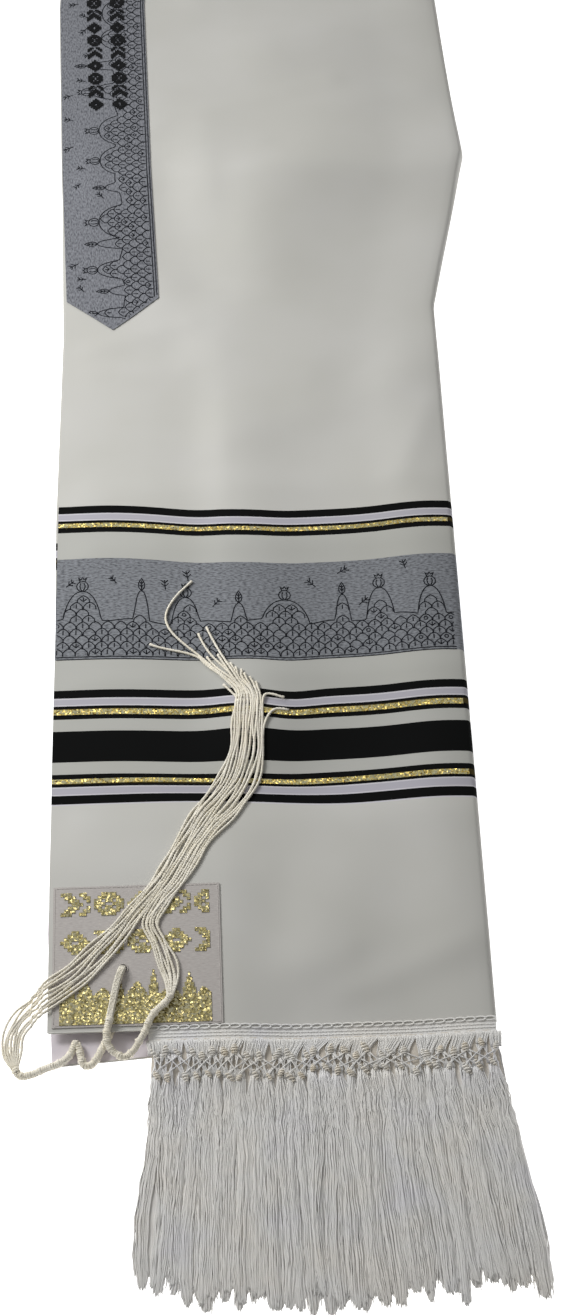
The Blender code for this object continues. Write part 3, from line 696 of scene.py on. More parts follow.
def turned(root, heading):
    """A function that gives the point ahead of a root and beside it, for a heading in degrees."""
    turn = math.radians(heading)
    ahead, aside = (math.cos(turn), math.sin(turn)), (-math.sin(turn), math.cos(turn))

    def spot(forward, sideways):
        return (root[0] + ahead[0] * forward + aside[0] * sideways, root[1] + ahead[1] * forward + aside[1] * sideways)

    return spot


def leaf(root, heading, length, width):
    """A pointed leaf with its midrib and two pairs of veins."""
    spot = turned(root, heading)
    shares = [step / 5 for step in range(6)]
    rim = [spot(length * share, width / 2 * math.sin(math.pi * share ** 0.8)) for share in shares]
    back = [spot(length * share, -width / 2 * math.sin(math.pi * share ** 0.8)) for share in reversed(shares)]
    lines = [rim + back, [spot(0.0, 0.0), spot(length * 0.8, 0.0)]]
    for share in (0.3, 0.55):
        for side in (-1, 1):
            lines.append([spot(length * share, 0.0), spot(length * (share + 0.16), side * width * 0.30)])
    return lines


def pomegranate(middle, radius):
    """A round fruit with a toothed crown, two ribs and a spray of seeds."""
    spot = turned(middle, 90)
    rim = [spot(radius * math.cos(step * math.pi / 6), radius * math.sin(step * math.pi / 6)) for step in range(13)]
    crown = [(0.95, -0.40), (1.75, -0.75), (1.35, -0.25), (1.85, 0.0), (1.35, 0.25), (1.75, 0.75), (0.95, 0.40)]
    lines = [rim, [spot(radius * forward, radius * sideways) for forward, sideways in crown]]
    for side in (-1, 1):
        lines.append([spot(radius * forward, side * radius * 0.45 * (1 - forward * forward)) for forward in (-0.9, -0.4, 0.1, 0.6)])
    return lines


def leaf_scale(middle, foot, wide, tall, shuffle):
    """One leaf of the hedge: a pointed arch, mostly with a midrib, and now and then with veins or a berry."""
    spot = turned((middle, foot), 90)
    rim = [(0.0, 0.50), (0.55, 0.46), (0.95, 0.24), (1.18, 0.0), (0.95, -0.24), (0.55, -0.46), (0.0, -0.50)]
    lines = [[spot(forward * tall, sideways * wide) for forward, sideways in rim]]
    kind = shuffle.random()
    if kind < 0.07:
        ring = [math.radians(60 * step) for step in range(7)]
        lines.append([spot(tall * (0.52 + 0.26 * math.sin(a)), tall * 0.26 * math.cos(a)) for a in ring])
        return lines
    if kind < 0.75:
        lines.append([spot(tall * 0.2, 0.0), spot(tall * 0.85, 0.0)])
    if kind < 0.22:
        for side in (-1, 1):
            lines.append([spot(tall * 0.25, 0.0), spot(tall * 0.62, side * wide * 0.26)])
    return lines


Bush = namedtuple("Bush", "middle half height")


def bushes_between(start, end, low, high, shuffle):
    """Bushes of uneven width and height, set at uneven places along a hedge."""
    bushes = []
    middle = start + shuffle.uniform(0.012, 0.022)
    while middle < end - 0.008:
        half = shuffle.choice((0.006, 0.011, 0.015, 0.019))
        bushes.append(Bush(middle, half, shuffle.uniform(low, high)))
        middle += half + shuffle.uniform(0.016, 0.030)
    return bushes


def skyline(bushes, base, run):
    """Height of the hedge's top at one place, with the bushes that rise from it."""
    top = base + 0.0016 * math.sin(run * 130) + 0.0012 * math.sin(run * 57)
    for bush in bushes:
        share = abs(run - bush.middle) / bush.half
        if share < 1:
            top = max(top, base * 0.7 + (bush.height - base * 0.7) * (1 - share ** 2.2) ** 0.55)
    return top


def garden(start, end, base, bushes, open_to, shuffle):
    """The whole figure between two places: its foot, the hedge with its bushes, and sprigs over it."""
    lines = [[(start, 0.0), (end, 0.0)], [(start, HEDGE_FOOT * 0.7), (end, HEDGE_FOOT * 0.7)]]
    steps = round((end - start) / 0.0014)
    top_line = []
    for step in range(steps + 1):
        run = blend(start, end, step / steps)
        top_line.append((run, skyline(bushes, base, run)))
    lines.append(top_line)
    for row in range(int((open_to - HEDGE_FOOT) / SCALE_PITCH)):
        foot = HEDGE_FOOT + row * SCALE_PITCH
        for index in range(round((end - start) / SCALE_WIDTH) + 1):
            middle = start + (index + 0.5 * (row % 2)) * SCALE_WIDTH + shuffle.uniform(-0.0004, 0.0004)
            lowest = min(skyline(bushes, base, middle + side * SCALE_WIDTH * 0.36) for side in (-1, 0, 1))
            if foot + SCALE_PITCH < lowest:
                lines += leaf_scale(middle, foot, SCALE_WIDTH, SCALE_PITCH, shuffle)
    for bush in bushes:
        if bush.half > 0.010:
            fruit = 0.0044
            lines += pomegranate((bush.middle, bush.height + fruit), fruit)
        else:
            lines += leaf((bush.middle, bush.height), 90, 0.0110, 0.0048)
    run = start + 0.006
    while run < end - 0.004:
        height = shuffle.uniform(base + 0.012, open_to - 0.008)
        if height > skyline(bushes, base, run) + 0.009:
            lines += sprig((run, height), shuffle.uniform(30, 150), shuffle.uniform(0.0070, 0.0090))
        run += shuffle.uniform(0.013, 0.022)
    return lines


def sprig(root, heading, length):
    """A short stem with two pairs of small leaves."""
    spot = turned(root, heading)
    lines = [[spot(0.0, 0.0), spot(length, 0.0)]]
    for share in (0.35, 0.70):
        for side in (-1, 1):
            lines.append([spot(length * share, 0.0), spot(length * (share + 0.30), side * length * 0.32)])
    return lines


def clipped(lines, is_inside):
    """The stretches of the lines that lie inside the ground, cut at about two millimetres."""
    kept = []
    for line in lines:
        stretch = []
        for (x0, y0), (x1, y1) in zip(line, line[1:]):
            count = max(math.ceil(math.hypot(x1 - x0, y1 - y0) / 0.0022), 1)
            for step in range(count):
                here = (blend(x0, x1, step / count), blend(y0, y1, step / count))
                if is_inside(*here):
                    stretch.append(here)
                else:
                    kept.append(stretch)
                    stretch = []
        if is_inside(*line[-1]):
            stretch.append(line[-1])
        kept.append(stretch)
    return [stretch for stretch in kept if len(stretch) > 1]


def laid_lines(name, lines, to_surface, width=LINE_WIDTH, material=ink):
    """Lines of a flat design floated over a surface as thin three-sided ridges."""
    routes = [[(to_surface(x, y, LINE_RISE), 1.0, 0.0) for x, y in line] for line in lines]
    corners = ((-width / 2, -LINE_RISE), (width / 2, -LINE_RISE), (0.0, LINE_RISE * 0.8))
    return swept(name, routes, material, corners, twist="Z_UP")


def band_design(seed):
    """The figure of one band, across the front layer and up from the band's edge nearer the hem."""
    shuffle = random.Random(seed)
    start, end = FIGURE_MARGIN, FOLDED_WIDTH - FOLD_NOSE - FIGURE_MARGIN
    depth = BAND_HIGH - BAND_LOW - 2 * FIGURE_MARGIN
    bushes = bushes_between(start, end, 0.042, 0.062, shuffle)
    lines = garden(start, end, BAND_HEDGE, bushes, depth, shuffle)
    return clipped(lines, lambda x, y: start <= x <= end and 0.0 <= y <= depth)


def on_near_band(flat, up, lift):
    return on_front(flat, BAND_LOW + FIGURE_MARGIN + up, lift)


def on_far_band(flat, up, lift):
    return on_front(flat, CLOTH_LENGTH - BAND_LOW - FIGURE_MARGIN - up, lift)


band_lines = laid_lines("band_figure_near", band_design(5), on_near_band)
far_band_lines = laid_lines("band_figure_far", band_design(6), on_far_band)
for piece in (band_lines, far_band_lines):
    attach(piece, "root")


# ---------------------------------------------------------------------------------------------------------
# Neck band (atarah): a grey cotton satin ribbon, 75 mm wide, cut to a point at both ends and sewn along the
# free edge where the shawl lies round the neck. The same garden stands along its inner side, and two bold
# borders of lozenges and chevrons run over it round the middle.
BAND_WIDTH = 0.075
BAND_INSET = 0.001
BAND_TIP = 0.620
BAND_SHOULDER = 0.652
BAND_WALL = 0.0006
BAND_CELLS = 16
BAND_ROWS = 130
NECK_HEDGE = 0.027

grey_cotton, tree, shader = new_material("slubbed_grey_cotton_satin")
weave = add(tree, "ShaderNodeUVMap", uv_map="weave")
shader.inputs["Roughness"].default_value = 0.75
shader.inputs["Specular IOR Level"].default_value = 0.2
slub_place = add(tree, "ShaderNodeMapping", {"Vector": weave.outputs["UV"], "Scale": (900.0, 330.0, 1.0)})
slub = add(tree, "ShaderNodeTexNoise", {"Vector": slub_place.outputs["Vector"], "Scale": 1.0, "Detail": 2.0})
slub_colour = add(
    tree,
    "ShaderNodeValToRGB",
    {"Fac": slub.outputs["Fac"]},
    stops=((0.32, linear("585A60")), (0.50, linear("7C7E84")), (0.68, linear("8E9096"))),
)
slub_bump = add(tree, "ShaderNodeBump", {"Height": slub.outputs["Fac"], "Strength": 0.25, "Distance": 0.0004})
tree.links.new(slub_colour.outputs["Color"], shader.inputs["Base Color"])
tree.links.new(slub_bump.outputs["Normal"], shader.inputs["Normal"])


def band_edge(share_across):
    """How far the band's cut end lies from its tip at a share of its width."""
    return (BAND_SHOULDER - BAND_TIP) * abs(2 * share_across - 1)


def band_row(share_along):
    """One cross row of the neck band, as (point, width in metres, length in metres)."""
    row = []
    for step in range(BAND_CELLS + 1):
        share = step / BAND_CELLS
        low = BAND_TIP + band_edge(share)
        along = blend(low, CLOTH_LENGTH - low, share_along)
        row.append((on_band(BAND_WIDTH * share, along, 0.0), BAND_WIDTH * share, along))
    return row


def on_band(side, along, lift):
    """The point over a place of the neck band, given by its distance from the band's outer edge."""
    across = outline(along)[0] + BAND_INSET + side
    return place(across, along, front_top(across, along) + SEAM_GAP + BAND_WALL + lift)


band_rows = [band_row(row / BAND_ROWS) for row in range(BAND_ROWS + 1)]
neck_band = sheet_object("neck_band_cloth", band_rows, BAND_WALL, grey_cotton)
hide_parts("neck_band")

KEY_TILES = (
    ("...##...", "..####..", ".######.", "###..###", ".######.", "..####..", "...##..."),
    ("###..##.", ".###..##", "..###..#", "...###..", "..###..#", ".###..##", "###..##."),
    ("..####..", ".######.", "##.##.##", "###..###", "##.##.##", ".######.", "..####.."),
)
KEY_GAP = 1


def key_cell(column, line):
    """Whether a cell of a running border is worked: tiles in turn, with a bare column between them."""
    tile_width = len(KEY_TILES[0][0]) + KEY_GAP
    tile = KEY_TILES[column // tile_width % len(KEY_TILES)]
    place_in_tile = column % tile_width
    return place_in_tile < len(tile[0]) and tile[line][place_in_tile] == "#"


black_float, tree, shader = new_material("black_cotton_float")
shader.inputs["Base Color"].default_value = linear("0F1012")
shader.inputs["Roughness"].default_value = 0.8
shader.inputs["Specular IOR Level"].default_value = 0.15

KEY_CELL = 0.0018
KEY_FROM, KEY_TO = 0.8720, 1.0970
key_columns = round((KEY_TO - KEY_FROM) / KEY_CELL)


def key_border(name, side):
    """One bold border along the neck band."""

    def corner(column, line):
        return on_band(side + line * KEY_CELL, KEY_FROM + column * KEY_CELL, GILT_RISE)

    piece = lurex_field(name, key_columns, len(KEY_TILES[0]), corner, key_cell, 11, black_float)
    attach(piece, "root")
    return piece


def neck_design():
    """The neck band's fine figure, along the band and up from its inner side."""
    shuffle = random.Random(31)
    start, end = BAND_TIP, CLOTH_LENGTH - BAND_TIP
    depth = BAND_WIDTH - 2 * FIGURE_MARGIN
    bushes = bushes_between(start + 0.006, end - 0.006, 0.036, 0.052, shuffle)
    lines = garden(start, end, NECK_HEDGE, bushes, depth, shuffle)

    def is_inside(run, up):
        tip = BAND_TIP + band_edge((up + FIGURE_MARGIN) / BAND_WIDTH) + 2 * FIGURE_MARGIN
        return tip <= run <= CLOTH_LENGTH - tip and 0.0 <= up <= depth

    return clipped(lines, is_inside)


def on_neck_figure(run, up, lift):
    return on_band(BAND_WIDTH - FIGURE_MARGIN - up, run, lift)


neck_lines = laid_lines("neck_band_figure", neck_design(), on_neck_figure)
neck_keys = [key_border("neck_band_key_outer", 0.0235), key_border("neck_band_key_inner", 0.0440)]
for piece in (neck_band, neck_lines):
    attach(piece, "root")


# ---------------------------------------------------------------------------------------------------------
# Corner patches: squares of pale satin stitched on the four corners to strengthen them round the eyelets
# that the tassels hang from. The two on the face carry two rows of gilt lozenges and chevrons over a gilt
# block with a crest of flames; the two underneath are plain.
PATCH_INSET = 0.003
PATCH_WIDTH = 0.114
PATCH_LENGTH = 0.1055
PATCH_CELLS = 38
PATCH_SHEET = 0.0006
PATCH_STITCH = 0.0012

satin, tree, shader = new_material("pale_acetate_satin")
weave = add(tree, "ShaderNodeUVMap", uv_map="weave")
thread_place = add(tree, "ShaderNodeMapping", {"Vector": weave.outputs["UV"], "Scale": (300.0, 1500.0, 1.0)})
threads = add(tree, "ShaderNodeTexNoise", {"Vector": thread_place.outputs["Vector"], "Scale": 1.0, "Detail": 2.0})
thread_colour = add(
    tree,
    "ShaderNodeValToRGB",
    {"Fac": threads.outputs["Fac"]},
    stops=((0.3, linear("B3ADA9")), (0.7, linear("C6C1BC"))),
)
thread_bump = add(tree, "ShaderNodeBump", {"Height": threads.outputs["Fac"], "Strength": 0.15, "Distance": 0.0003})
tree.links.new(thread_colour.outputs["Color"], shader.inputs["Base Color"])
tree.links.new(thread_bump.outputs["Normal"], shader.inputs["Normal"])
shader.inputs["Roughness"].default_value = 0.55
shader.inputs["Specular IOR Level"].default_value = 0.3

# Paler tones of the patch's floats: partly the metal thread's own uneven tone, partly painted glints and shade.
PALE_GILT_AND_GLINTS = ((0.0, "807450"), (0.30, "A69A64"), (0.62, "CABE86"), (0.90, "F8F2CC"))
pale_gilt = gilt_thread("pale_gilt_thread", PALE_GILT_AND_GLINTS)


def on_patch(side, from_edge, lift, near):
    """The point over a front corner patch; from_edge is counted from the hem."""
    along = from_edge if near else CLOTH_LENGTH - from_edge
    across = outline(along)[0] + side
    return place(across, along, front_top(across, along) + SEAM_GAP + PATCH_SHEET + lift)


def patch_rows(near, front):
    """Rows of a corner patch, as (point, width in metres, length in metres)."""
    rows = []
    for line in range(PATCH_CELLS + 1):
        row = []
        from_edge = PATCH_INSET + PATCH_LENGTH * (line if near else PATCH_CELLS - line) / PATCH_CELLS
        for step in range(PATCH_CELLS + 1):
            side = PATCH_INSET + PATCH_WIDTH * step / PATCH_CELLS
            if front:
                spot = on_patch(side, from_edge, 0.0, near)
            else:
                along = from_edge if near else CLOTH_LENGTH - from_edge
                skew = BACK_SKEW * (FOLDED_WIDTH - SOLID_WALL / 2 - FOLD_NOSE - side) / FOLDED_WIDTH
                spot = place(side + 0.001, along - skew, PATCH_WALL)
            row.append((spot, side, from_edge))
        rows.append(row)
    return rows


Flame = namedtuple("Flame", "side half height")
FLAMES = (
    Flame(0.006, 0.005, 0.029), Flame(0.017, 0.006, 0.034), Flame(0.029, 0.007, 0.027), Flame(0.039, 0.005, 0.036),
    Flame(0.052, 0.008, 0.031), Flame(0.063, 0.004, 0.040), Flame(0.074, 0.008, 0.028), Flame(0.087, 0.005, 0.037),
    Flame(0.097, 0.006, 0.026),
)
FLAME_FOOT = 0.018
GILT_CELL = 0.00127
GILT_FROM = 0.0045
GILT_SIDE = 0.0080
GILT_COLUMNS = 80
GILT_LINES = 78
GILT_ROW_LOW, GILT_ROW_HIGH = 41, 64


def patch_gilt_cell(column, line):
    """Whether a cell of the patch's ornament is worked, its lines counted from the hem."""
    side, up = (column + 0.5) * GILT_CELL, (line + 0.5) * GILT_CELL
    for flame in FLAMES:
        share = abs(side - flame.side) / flame.half
        if up < FLAME_FOOT or share < 1 and up < blend(FLAME_FOOT, flame.height, (1 - share) ** 0.7):
            return True
    for first in (GILT_ROW_LOW, GILT_ROW_HIGH):
        tile_line = (line - first) // 2
        if 0 <= tile_line < len(KEY_TILES[0]):
            return key_cell(column // 2 + 9 * (first == GILT_ROW_HIGH), tile_line)
    return False


def patch_threads(near):
    """The line of stitches inside the patch's edges, and the buttonhole ring round its eyelet."""
    low, high = PATCH_INSET + PATCH_STITCH, PATCH_INSET + PATCH_LENGTH - PATCH_STITCH
    left, right = PATCH_INSET + PATCH_STITCH, PATCH_INSET + PATCH_WIDTH - PATCH_STITCH
    corners = ((left, low), (right, low), (right, high), (left, high), (left, low))
    seam = []
    for (side_a, edge_a), (side_b, edge_b) in zip(corners, corners[1:]):
        for step in range(70):
            share = step / 70
            seam.append((on_patch(blend(side_a, side_b, share), blend(edge_a, edge_b, share), 0.0, near), 0.6 + 0.5 * (step % 2), 0.0))
    ring = []
    for step in range(33):
        angle = 2 * math.pi * step / 32
        reach = EYELET_RADIUS + 0.0004 + 0.0002 * (step % 2)
        left_edge = outline(EYELET_ALONG if near else CLOTH_LENGTH - EYELET_ALONG)[0]
        side = EYELET_ACROSS - left_edge + reach * math.cos(angle)
        ring.append((on_patch(side, EYELET_ALONG + reach * math.sin(angle), 0.0002, near), 1.5, 0.0))
    return [seam, ring]


def make_patch(end, side):
    """One corner patch, with its stitches and its gilt if it lies on the face."""
    near, front = end == "near", side == "front"
    wall = PATCH_SHEET if front else PATCH_WALL
    patch = punched(sheet_object(f"patch_cloth_{end}_{side}", patch_rows(near, front), wall, satin))
    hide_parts(f"patch_{end}_{side}")
    pieces = [patch]
    if front:
        def corner(column, line):
            return on_patch(GILT_SIDE + column * GILT_CELL, GILT_FROM + line * GILT_CELL, GILT_RISE + 0.0001, near)

        pieces.append(lurex_field(f"patch_gilt_{end}", GILT_COLUMNS, GILT_LINES, corner, patch_gilt_cell, 21 + near, pale_gilt))
        pieces.append(swept(f"patch_stitches_{end}", patch_threads(near), satin, round_corners(0.0003, 5)))
    for piece in pieces:
        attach(piece, "root")
    return pieces


patch_pieces = []
for end in ("near", "far"):
    for side in ("front", "under"):
        patch_pieces += make_patch(end, side)
bpy.data.objects.remove(punch)


# ---------------------------------------------------------------------------------------------------------
# Fringes: a crocheted heading of white rayon yarn is sewn along each hem between the corner patches. Below
# its knots the yarns are brushed into one matted mass: a felted sheet, with fine loose yarns laid over it
# that gather into blunt ragged locks.
STRIP_DEPTH = 0.010
STRIP_WALL = 0.0012
FRINGE_END = 0.299
FRINGE_FLARE_LEFT = -0.012
FRINGE_FLARE_FOLD = 0.024
FRINGE_LENGTH_LEFT = 0.166
FRINGE_LENGTH_MIDDLE = 0.179
FRINGE_LENGTH_FOLD = 0.175
KNOT_ROWS = (0.0185, 0.0310)
YARN_WIDTH = 0.00085
YARN_RISE = 0.00015
MAT_WALL = 0.0007
MAT_COLUMNS = 6
MAT_LINES = 36
YARN_STEPS = 14
FringeKind = namedtuple("FringeKind", "start yarns_from yarns_to locks yarns pile floor")
FRONT_KIND = FringeKind(0.068, 0.0715, 0.2965, 28, 52, 0.0010, 0.0013)
UNDER_KIND = FringeKind(0.090, 0.0910, 0.2980, 26, 14, 0.0006, 0.0010)

rayon, tree, shader = new_material("brushed_white_rayon_yarn")
spot = add(tree, "ShaderNodeTexCoord")
patchy = add(tree, "ShaderNodeTexNoise", {"Vector": spot.outputs["Object"], "Scale": 22.0, "Detail": 3.0})
rayon_colour = add(
    tree,
    "ShaderNodeValToRGB",
    {"Fac": patchy.outputs["Fac"]},
    stops=((0.35, linear("F3F0EA")), (0.55, linear("F0EFEC")), (0.75, linear("ECEBEE"))),
)
tree.links.new(rayon_colour.outputs["Color"], shader.inputs["Base Color"])
shader.inputs["Roughness"].default_value = 0.7
shader.inputs["Specular IOR Level"].default_value = 0.2

# The felted mass has fine streaks along the yarns, and deep between the knots it is coloured darker and warmer: painted
# shade.
felt, tree, shader = new_material("felted_rayon_mass")
weave = add(tree, "ShaderNodeUVMap", uv_map="weave")
streak_place = add(tree, "ShaderNodeMapping", {"Vector": weave.outputs["UV"], "Scale": (1100.0, 40.0, 1.0)})
streaks = add(tree, "ShaderNodeTexNoise", {"Vector": streak_place.outputs["Vector"], "Scale": 1.0, "Detail": 2.0})
streak_colour = add(
    tree,
    "ShaderNodeValToRGB",
    {"Fac": streaks.outputs["Fac"]},
    stops=((0.32, linear("DEDBD6")), (0.60, linear("F2F0EC"))),
)
split = add(tree, "ShaderNodeSeparateXYZ", {"Vector": weave.outputs["UV"]})
below_knots = add(
    tree,
    "ShaderNodeMapRange",
    {"Value": split.outputs["Y"], "From Min": 0.030, "From Max": 0.046},
)
painted_knot_shade = add(
    tree,
    "ShaderNodeMix",
    {0: below_knots.outputs[0], 6: linear("E0D8CB"), 7: streak_colour.outputs["Color"]},
    data_type="RGBA",
)
streak_bump = add(tree, "ShaderNodeBump", {"Height": streaks.outputs["Fac"], "Strength": 0.3, "Distance": 0.00015})
tree.links.new(painted_knot_shade.outputs[2], shader.inputs["Base Color"])
tree.links.new(streak_bump.outputs["Normal"], shader.inputs["Normal"])
shader.inputs["Roughness"].default_value = 0.8
shader.inputs["Specular IOR Level"].default_value = 0.15


def hem_spot(front, near, across, distance):
    """A point beyond one hem of the front or back layer, at the height of the heading's middle."""
    hem = 0.0 if near else CLOTH_LENGTH
    along = hem + (-1 if near else 1) * (SEAM_GAP + distance)
    if front:
        return place(across, along, front_top(across, hem) - SOLID_WALL / 2)
    skew = BACK_SKEW * (FOLDED_WIDTH - SOLID_WALL / 2 - FOLD_NOSE - across) / FOLDED_WIDTH
    return place(across, along - skew, 0.0009)


def hung(front, near, kind, share, depth, lift):
    """A point of a fringe: at a share of its width and a depth below the hem, a lift over its underside."""
    run = depth / FRINGE_LENGTH_MIDDLE
    root = blend(kind.yarns_from, kind.yarns_to, share)
    spot = hem_spot(front, near, root + blend(FRINGE_FLARE_LEFT, FRINGE_FLARE_FOLD, share) * run, depth)
    hem_height = hem_spot(front, near, min(max(root, 0.0), FRINGE_END), 0.0).z - STRIP_WALL / 2
    spot.z = blend(hem_height, kind.floor, smooth(depth / 0.060)) + lift
    return spot


def heading(end, side):
    """The crocheted heading: a dense strip sewn to the hem."""
    front, near = side == "front", end == "near"
    start = (FRONT_KIND if front else UNDER_KIND).start
    rows = []
    for distance in ((0.0, STRIP_DEPTH) if not near else (STRIP_DEPTH, 0.0)):
        row = []
        for step in range(101):
            across = blend(start, FRINGE_END, step / 100)
            row.append((hem_spot(front, near, across, distance) + Vector((0.0, 0.0, STRIP_WALL / 2)), across, distance))
        rows.append(row)
    return sheet_object(f"fringe_heading_{end}_{side}", rows, STRIP_WALL, rayon)


Lock = namedtuple("Lock", "middle half length point wander phase")


def lock_list(kind, shorter, shuffle):
    """The uneven locks of one fringe, in shares of its width: how long, how pointed and how wandering each is."""
    widths = [shuffle.uniform(0.55, 1.45) for _ in range(kind.locks)]
    locks = []
    for index, width in enumerate(widths):
        half = width / sum(widths) / 2
        middle = sum(widths[:index]) / sum(widths) + half
        side_share = 2 * middle - 1
        edge = FRINGE_LENGTH_LEFT if side_share < 0 else FRINGE_LENGTH_FOLD
        length = blend(FRINGE_LENGTH_MIDDLE, edge, side_share ** 2) + STRIP_DEPTH + shuffle.uniform(-0.009, 0.006)
        wander = [shuffle.uniform(-1, 1) for _ in range(4)]
        point = shuffle.uniform(1.3, 5.0)
        locks.append(Lock(middle, half, length - shorter, point, wander, shuffle.uniform(0.0, 6.3)))
    return locks


def reach(lock, lane):
    """How far a lock hangs below the hem: furthest in its middle."""
    return lock.length - 0.0085 * min(lock.half * 56, 1.3) * abs(lane) ** lock.point


def drift(lock, run):
    """How far a lock leans sideways at one share of its length."""
    waves = (size * math.sin(run * (3.0 + 2.3 * order) + order) for order, size in enumerate(lock.wander))
    return sum(waves) * 0.0017 * smooth(run * 2)


def mat_top(lane, run):
    """Height of the felted mass over its underside: fuller in the middle of a lock, thin at its end."""
    return MAT_WALL + (0.0004 + 0.0005 * (1 - lane * lane)) * smooth((1.06 - run) / 0.2)


def mat(end, side, kind, locks):
    """The felted mass, from inside the heading to short of the locks' tips."""
    front, near = side == "front", end == "near"
    rows = []
    for line in range(MAT_LINES + 1):
        run = 1 - (1 - line / MAT_LINES) ** 1.7
        row = []
        for lock in locks:
            for column in range(MAT_COLUMNS + 1):
                lane = 2 * column / MAT_COLUMNS - 1
                depth = blend(STRIP_DEPTH - 0.003, reach(lock, lane) - 0.003, run)
                narrow = 0.985 - 0.16 * smooth((run - 0.90) / 0.10)
                share = lock.middle + lane * narrow * lock.half
                spot = hung(front, near, kind, share, depth, mat_top(lane, run))
                spot.x += drift(lock, run)
                row.append((spot, spot.x, depth))
        rows.append(row)
    return sheet_object(f"fringe_mass_{end}_{side}", rows if not near else rows[::-1], MAT_WALL, felt, even=False)


def yarn_routes(front, near, kind, locks, shuffle):
    """Loose yarns over the felted mass: they spread below the knots, crinkle, and gather to blunt ends."""
    routes = []
    for lock in locks:
        for yarn in range(kind.yarns):
            lane = (yarn + 0.5) / kind.yarns * 2 - 1 + shuffle.uniform(-0.12, 0.12)
            tip = reach(lock, lane) - 0.001 - 0.008 * shuffle.random() ** 2
            start = KNOT_ROWS[1] - 0.002 + shuffle.uniform(0.0, 0.004) if front else STRIP_DEPTH - 0.002
            layer, phase = shuffle.random(), shuffle.uniform(-0.5, 0.5)
            slip = shuffle.uniform(-0.5, 0.5)
            stray = shuffle.uniform(-0.005, 0.005) if yarn % 6 == 0 and 0.04 < lock.middle < 0.96 else 0.0
            turn = shuffle.uniform(-0.5, 0.5)
            route = []
            for step in range(YARN_STEPS + 1):
                hang = min(step / (YARN_STEPS - 1), 1.0)
                depth = blend(start, tip, 0.985 * hang ** 1.25 if step < YARN_STEPS else 1.0)
                run = depth / lock.length
                spread = blend(0.66, 1.08, smooth((depth - KNOT_ROWS[1]) / 0.018)) if front else 1.0
                spread *= 1 - 0.16 * smooth((run - 0.88) / 0.12)
                share = lock.middle + (lane * spread + slip * smooth(run) * 0.5) * lock.half
                lift = mat_top(lane, run) + YARN_RISE + layer * kind.pile * smooth((1.08 - run) / 0.3)
                spot = hung(front, near, kind, share, depth, lift)
                crinkle = 0.00055 + 0.00060 * math.exp(-((depth - 0.058) / 0.018) ** 2) * front
                spot.x += stray * math.sin(math.pi * min(hang * 1.3, 1.0))
                wave = 2 * math.pi * depth / 0.0260 + lock.phase + 2.2 * lane + 3 * phase
                spot.x += drift(lock, run) + crinkle * math.sin(wave) + shuffle.uniform(-1, 1) * 0.00025 * hang
                route.append((spot, 1.0 if step < YARN_STEPS else 0.4, turn))
            routes.append(route)
    return routes


def make_fringe(end, side, locks):
    """One fringe."""
    front, near = side == "front", end == "near"
    kind = FRONT_KIND if front else UNDER_KIND
    shuffle = random.Random(f"{end} {side}")
    corners = ((-YARN_WIDTH / 2, -YARN_RISE), (YARN_WIDTH / 2, -YARN_RISE), (0.0, YARN_RISE))
    routes = yarn_routes(front, near, kind, locks, shuffle)
    yarns = swept(f"fringe_yarns_{end}_{side}", routes, rayon, corners, twist="Z_UP")
    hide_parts(f"fringe_{end}_{side}")
    pieces = [yarns, mat(end, side, kind, locks), heading(end, side)]
    for piece in pieces:
        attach(piece, "root")
    return pieces


fringe_pieces = []
front_locks = {}
for end in ("near", "far"):
    front_locks[end] = lock_list(FRONT_KIND, 0.0, random.Random(f"front locks {end}"))
    under_locks = lock_list(UNDER_KIND, 0.006, random.Random(f"under locks {end}"))
    fringe_pieces += make_fringe(end, "front", front_locks[end])
    fringe_pieces += make_fringe(end, "under", under_locks)


# ---------------------------------------------------------------------------------------------------------
# Knots of the front fringe: under the heading the yarns are parted into flat groups that slant from one
# wrapped knot to the next, in two staggered rows, and leave narrow gaps between them.
GROUP_YARNS = 11
GROUP_WIDTH = 0.0072
KNOT_TURNS = 4.5
KNOT_LIFT = 0.0026
KNOT_SLIP = 0.0034
CROSS_LIFT = 0.0007
CROSS_YARNS = 4


NetKnot = namedtuple("NetKnot", "share depth")


def slipped(knot, span, shuffle):
    """A knot a little off its even place."""
    share = knot.share + shuffle.uniform(-1, 1) * KNOT_SLIP / 2 / span
    return NetKnot(share, knot.depth + shuffle.uniform(-1, 1) * KNOT_SLIP)


def knot_wrap(middle, radius, half_height, shuffle):
    """A short wrapping round one knot."""
    route = []
    count = round(KNOT_TURNS * 9)
    phase, lean = shuffle.uniform(0, 6.3), shuffle.uniform(-0.8, 0.5)
    for step in range(count + 1):
        share = step / count
        angle = phase + 2 * math.pi * KNOT_TURNS * share
        girth = radius * (0.45 + 0.55 * math.sin(math.pi * share))
        down = half_height * (1 - 2 * share)
        offset = Vector((girth * math.cos(angle) + lean * down, down, girth * 0.5 * math.sin(angle)))
        route.append((middle + offset, 0.6 + 0.4 * math.sin(math.pi * share), 0.0))
    return route


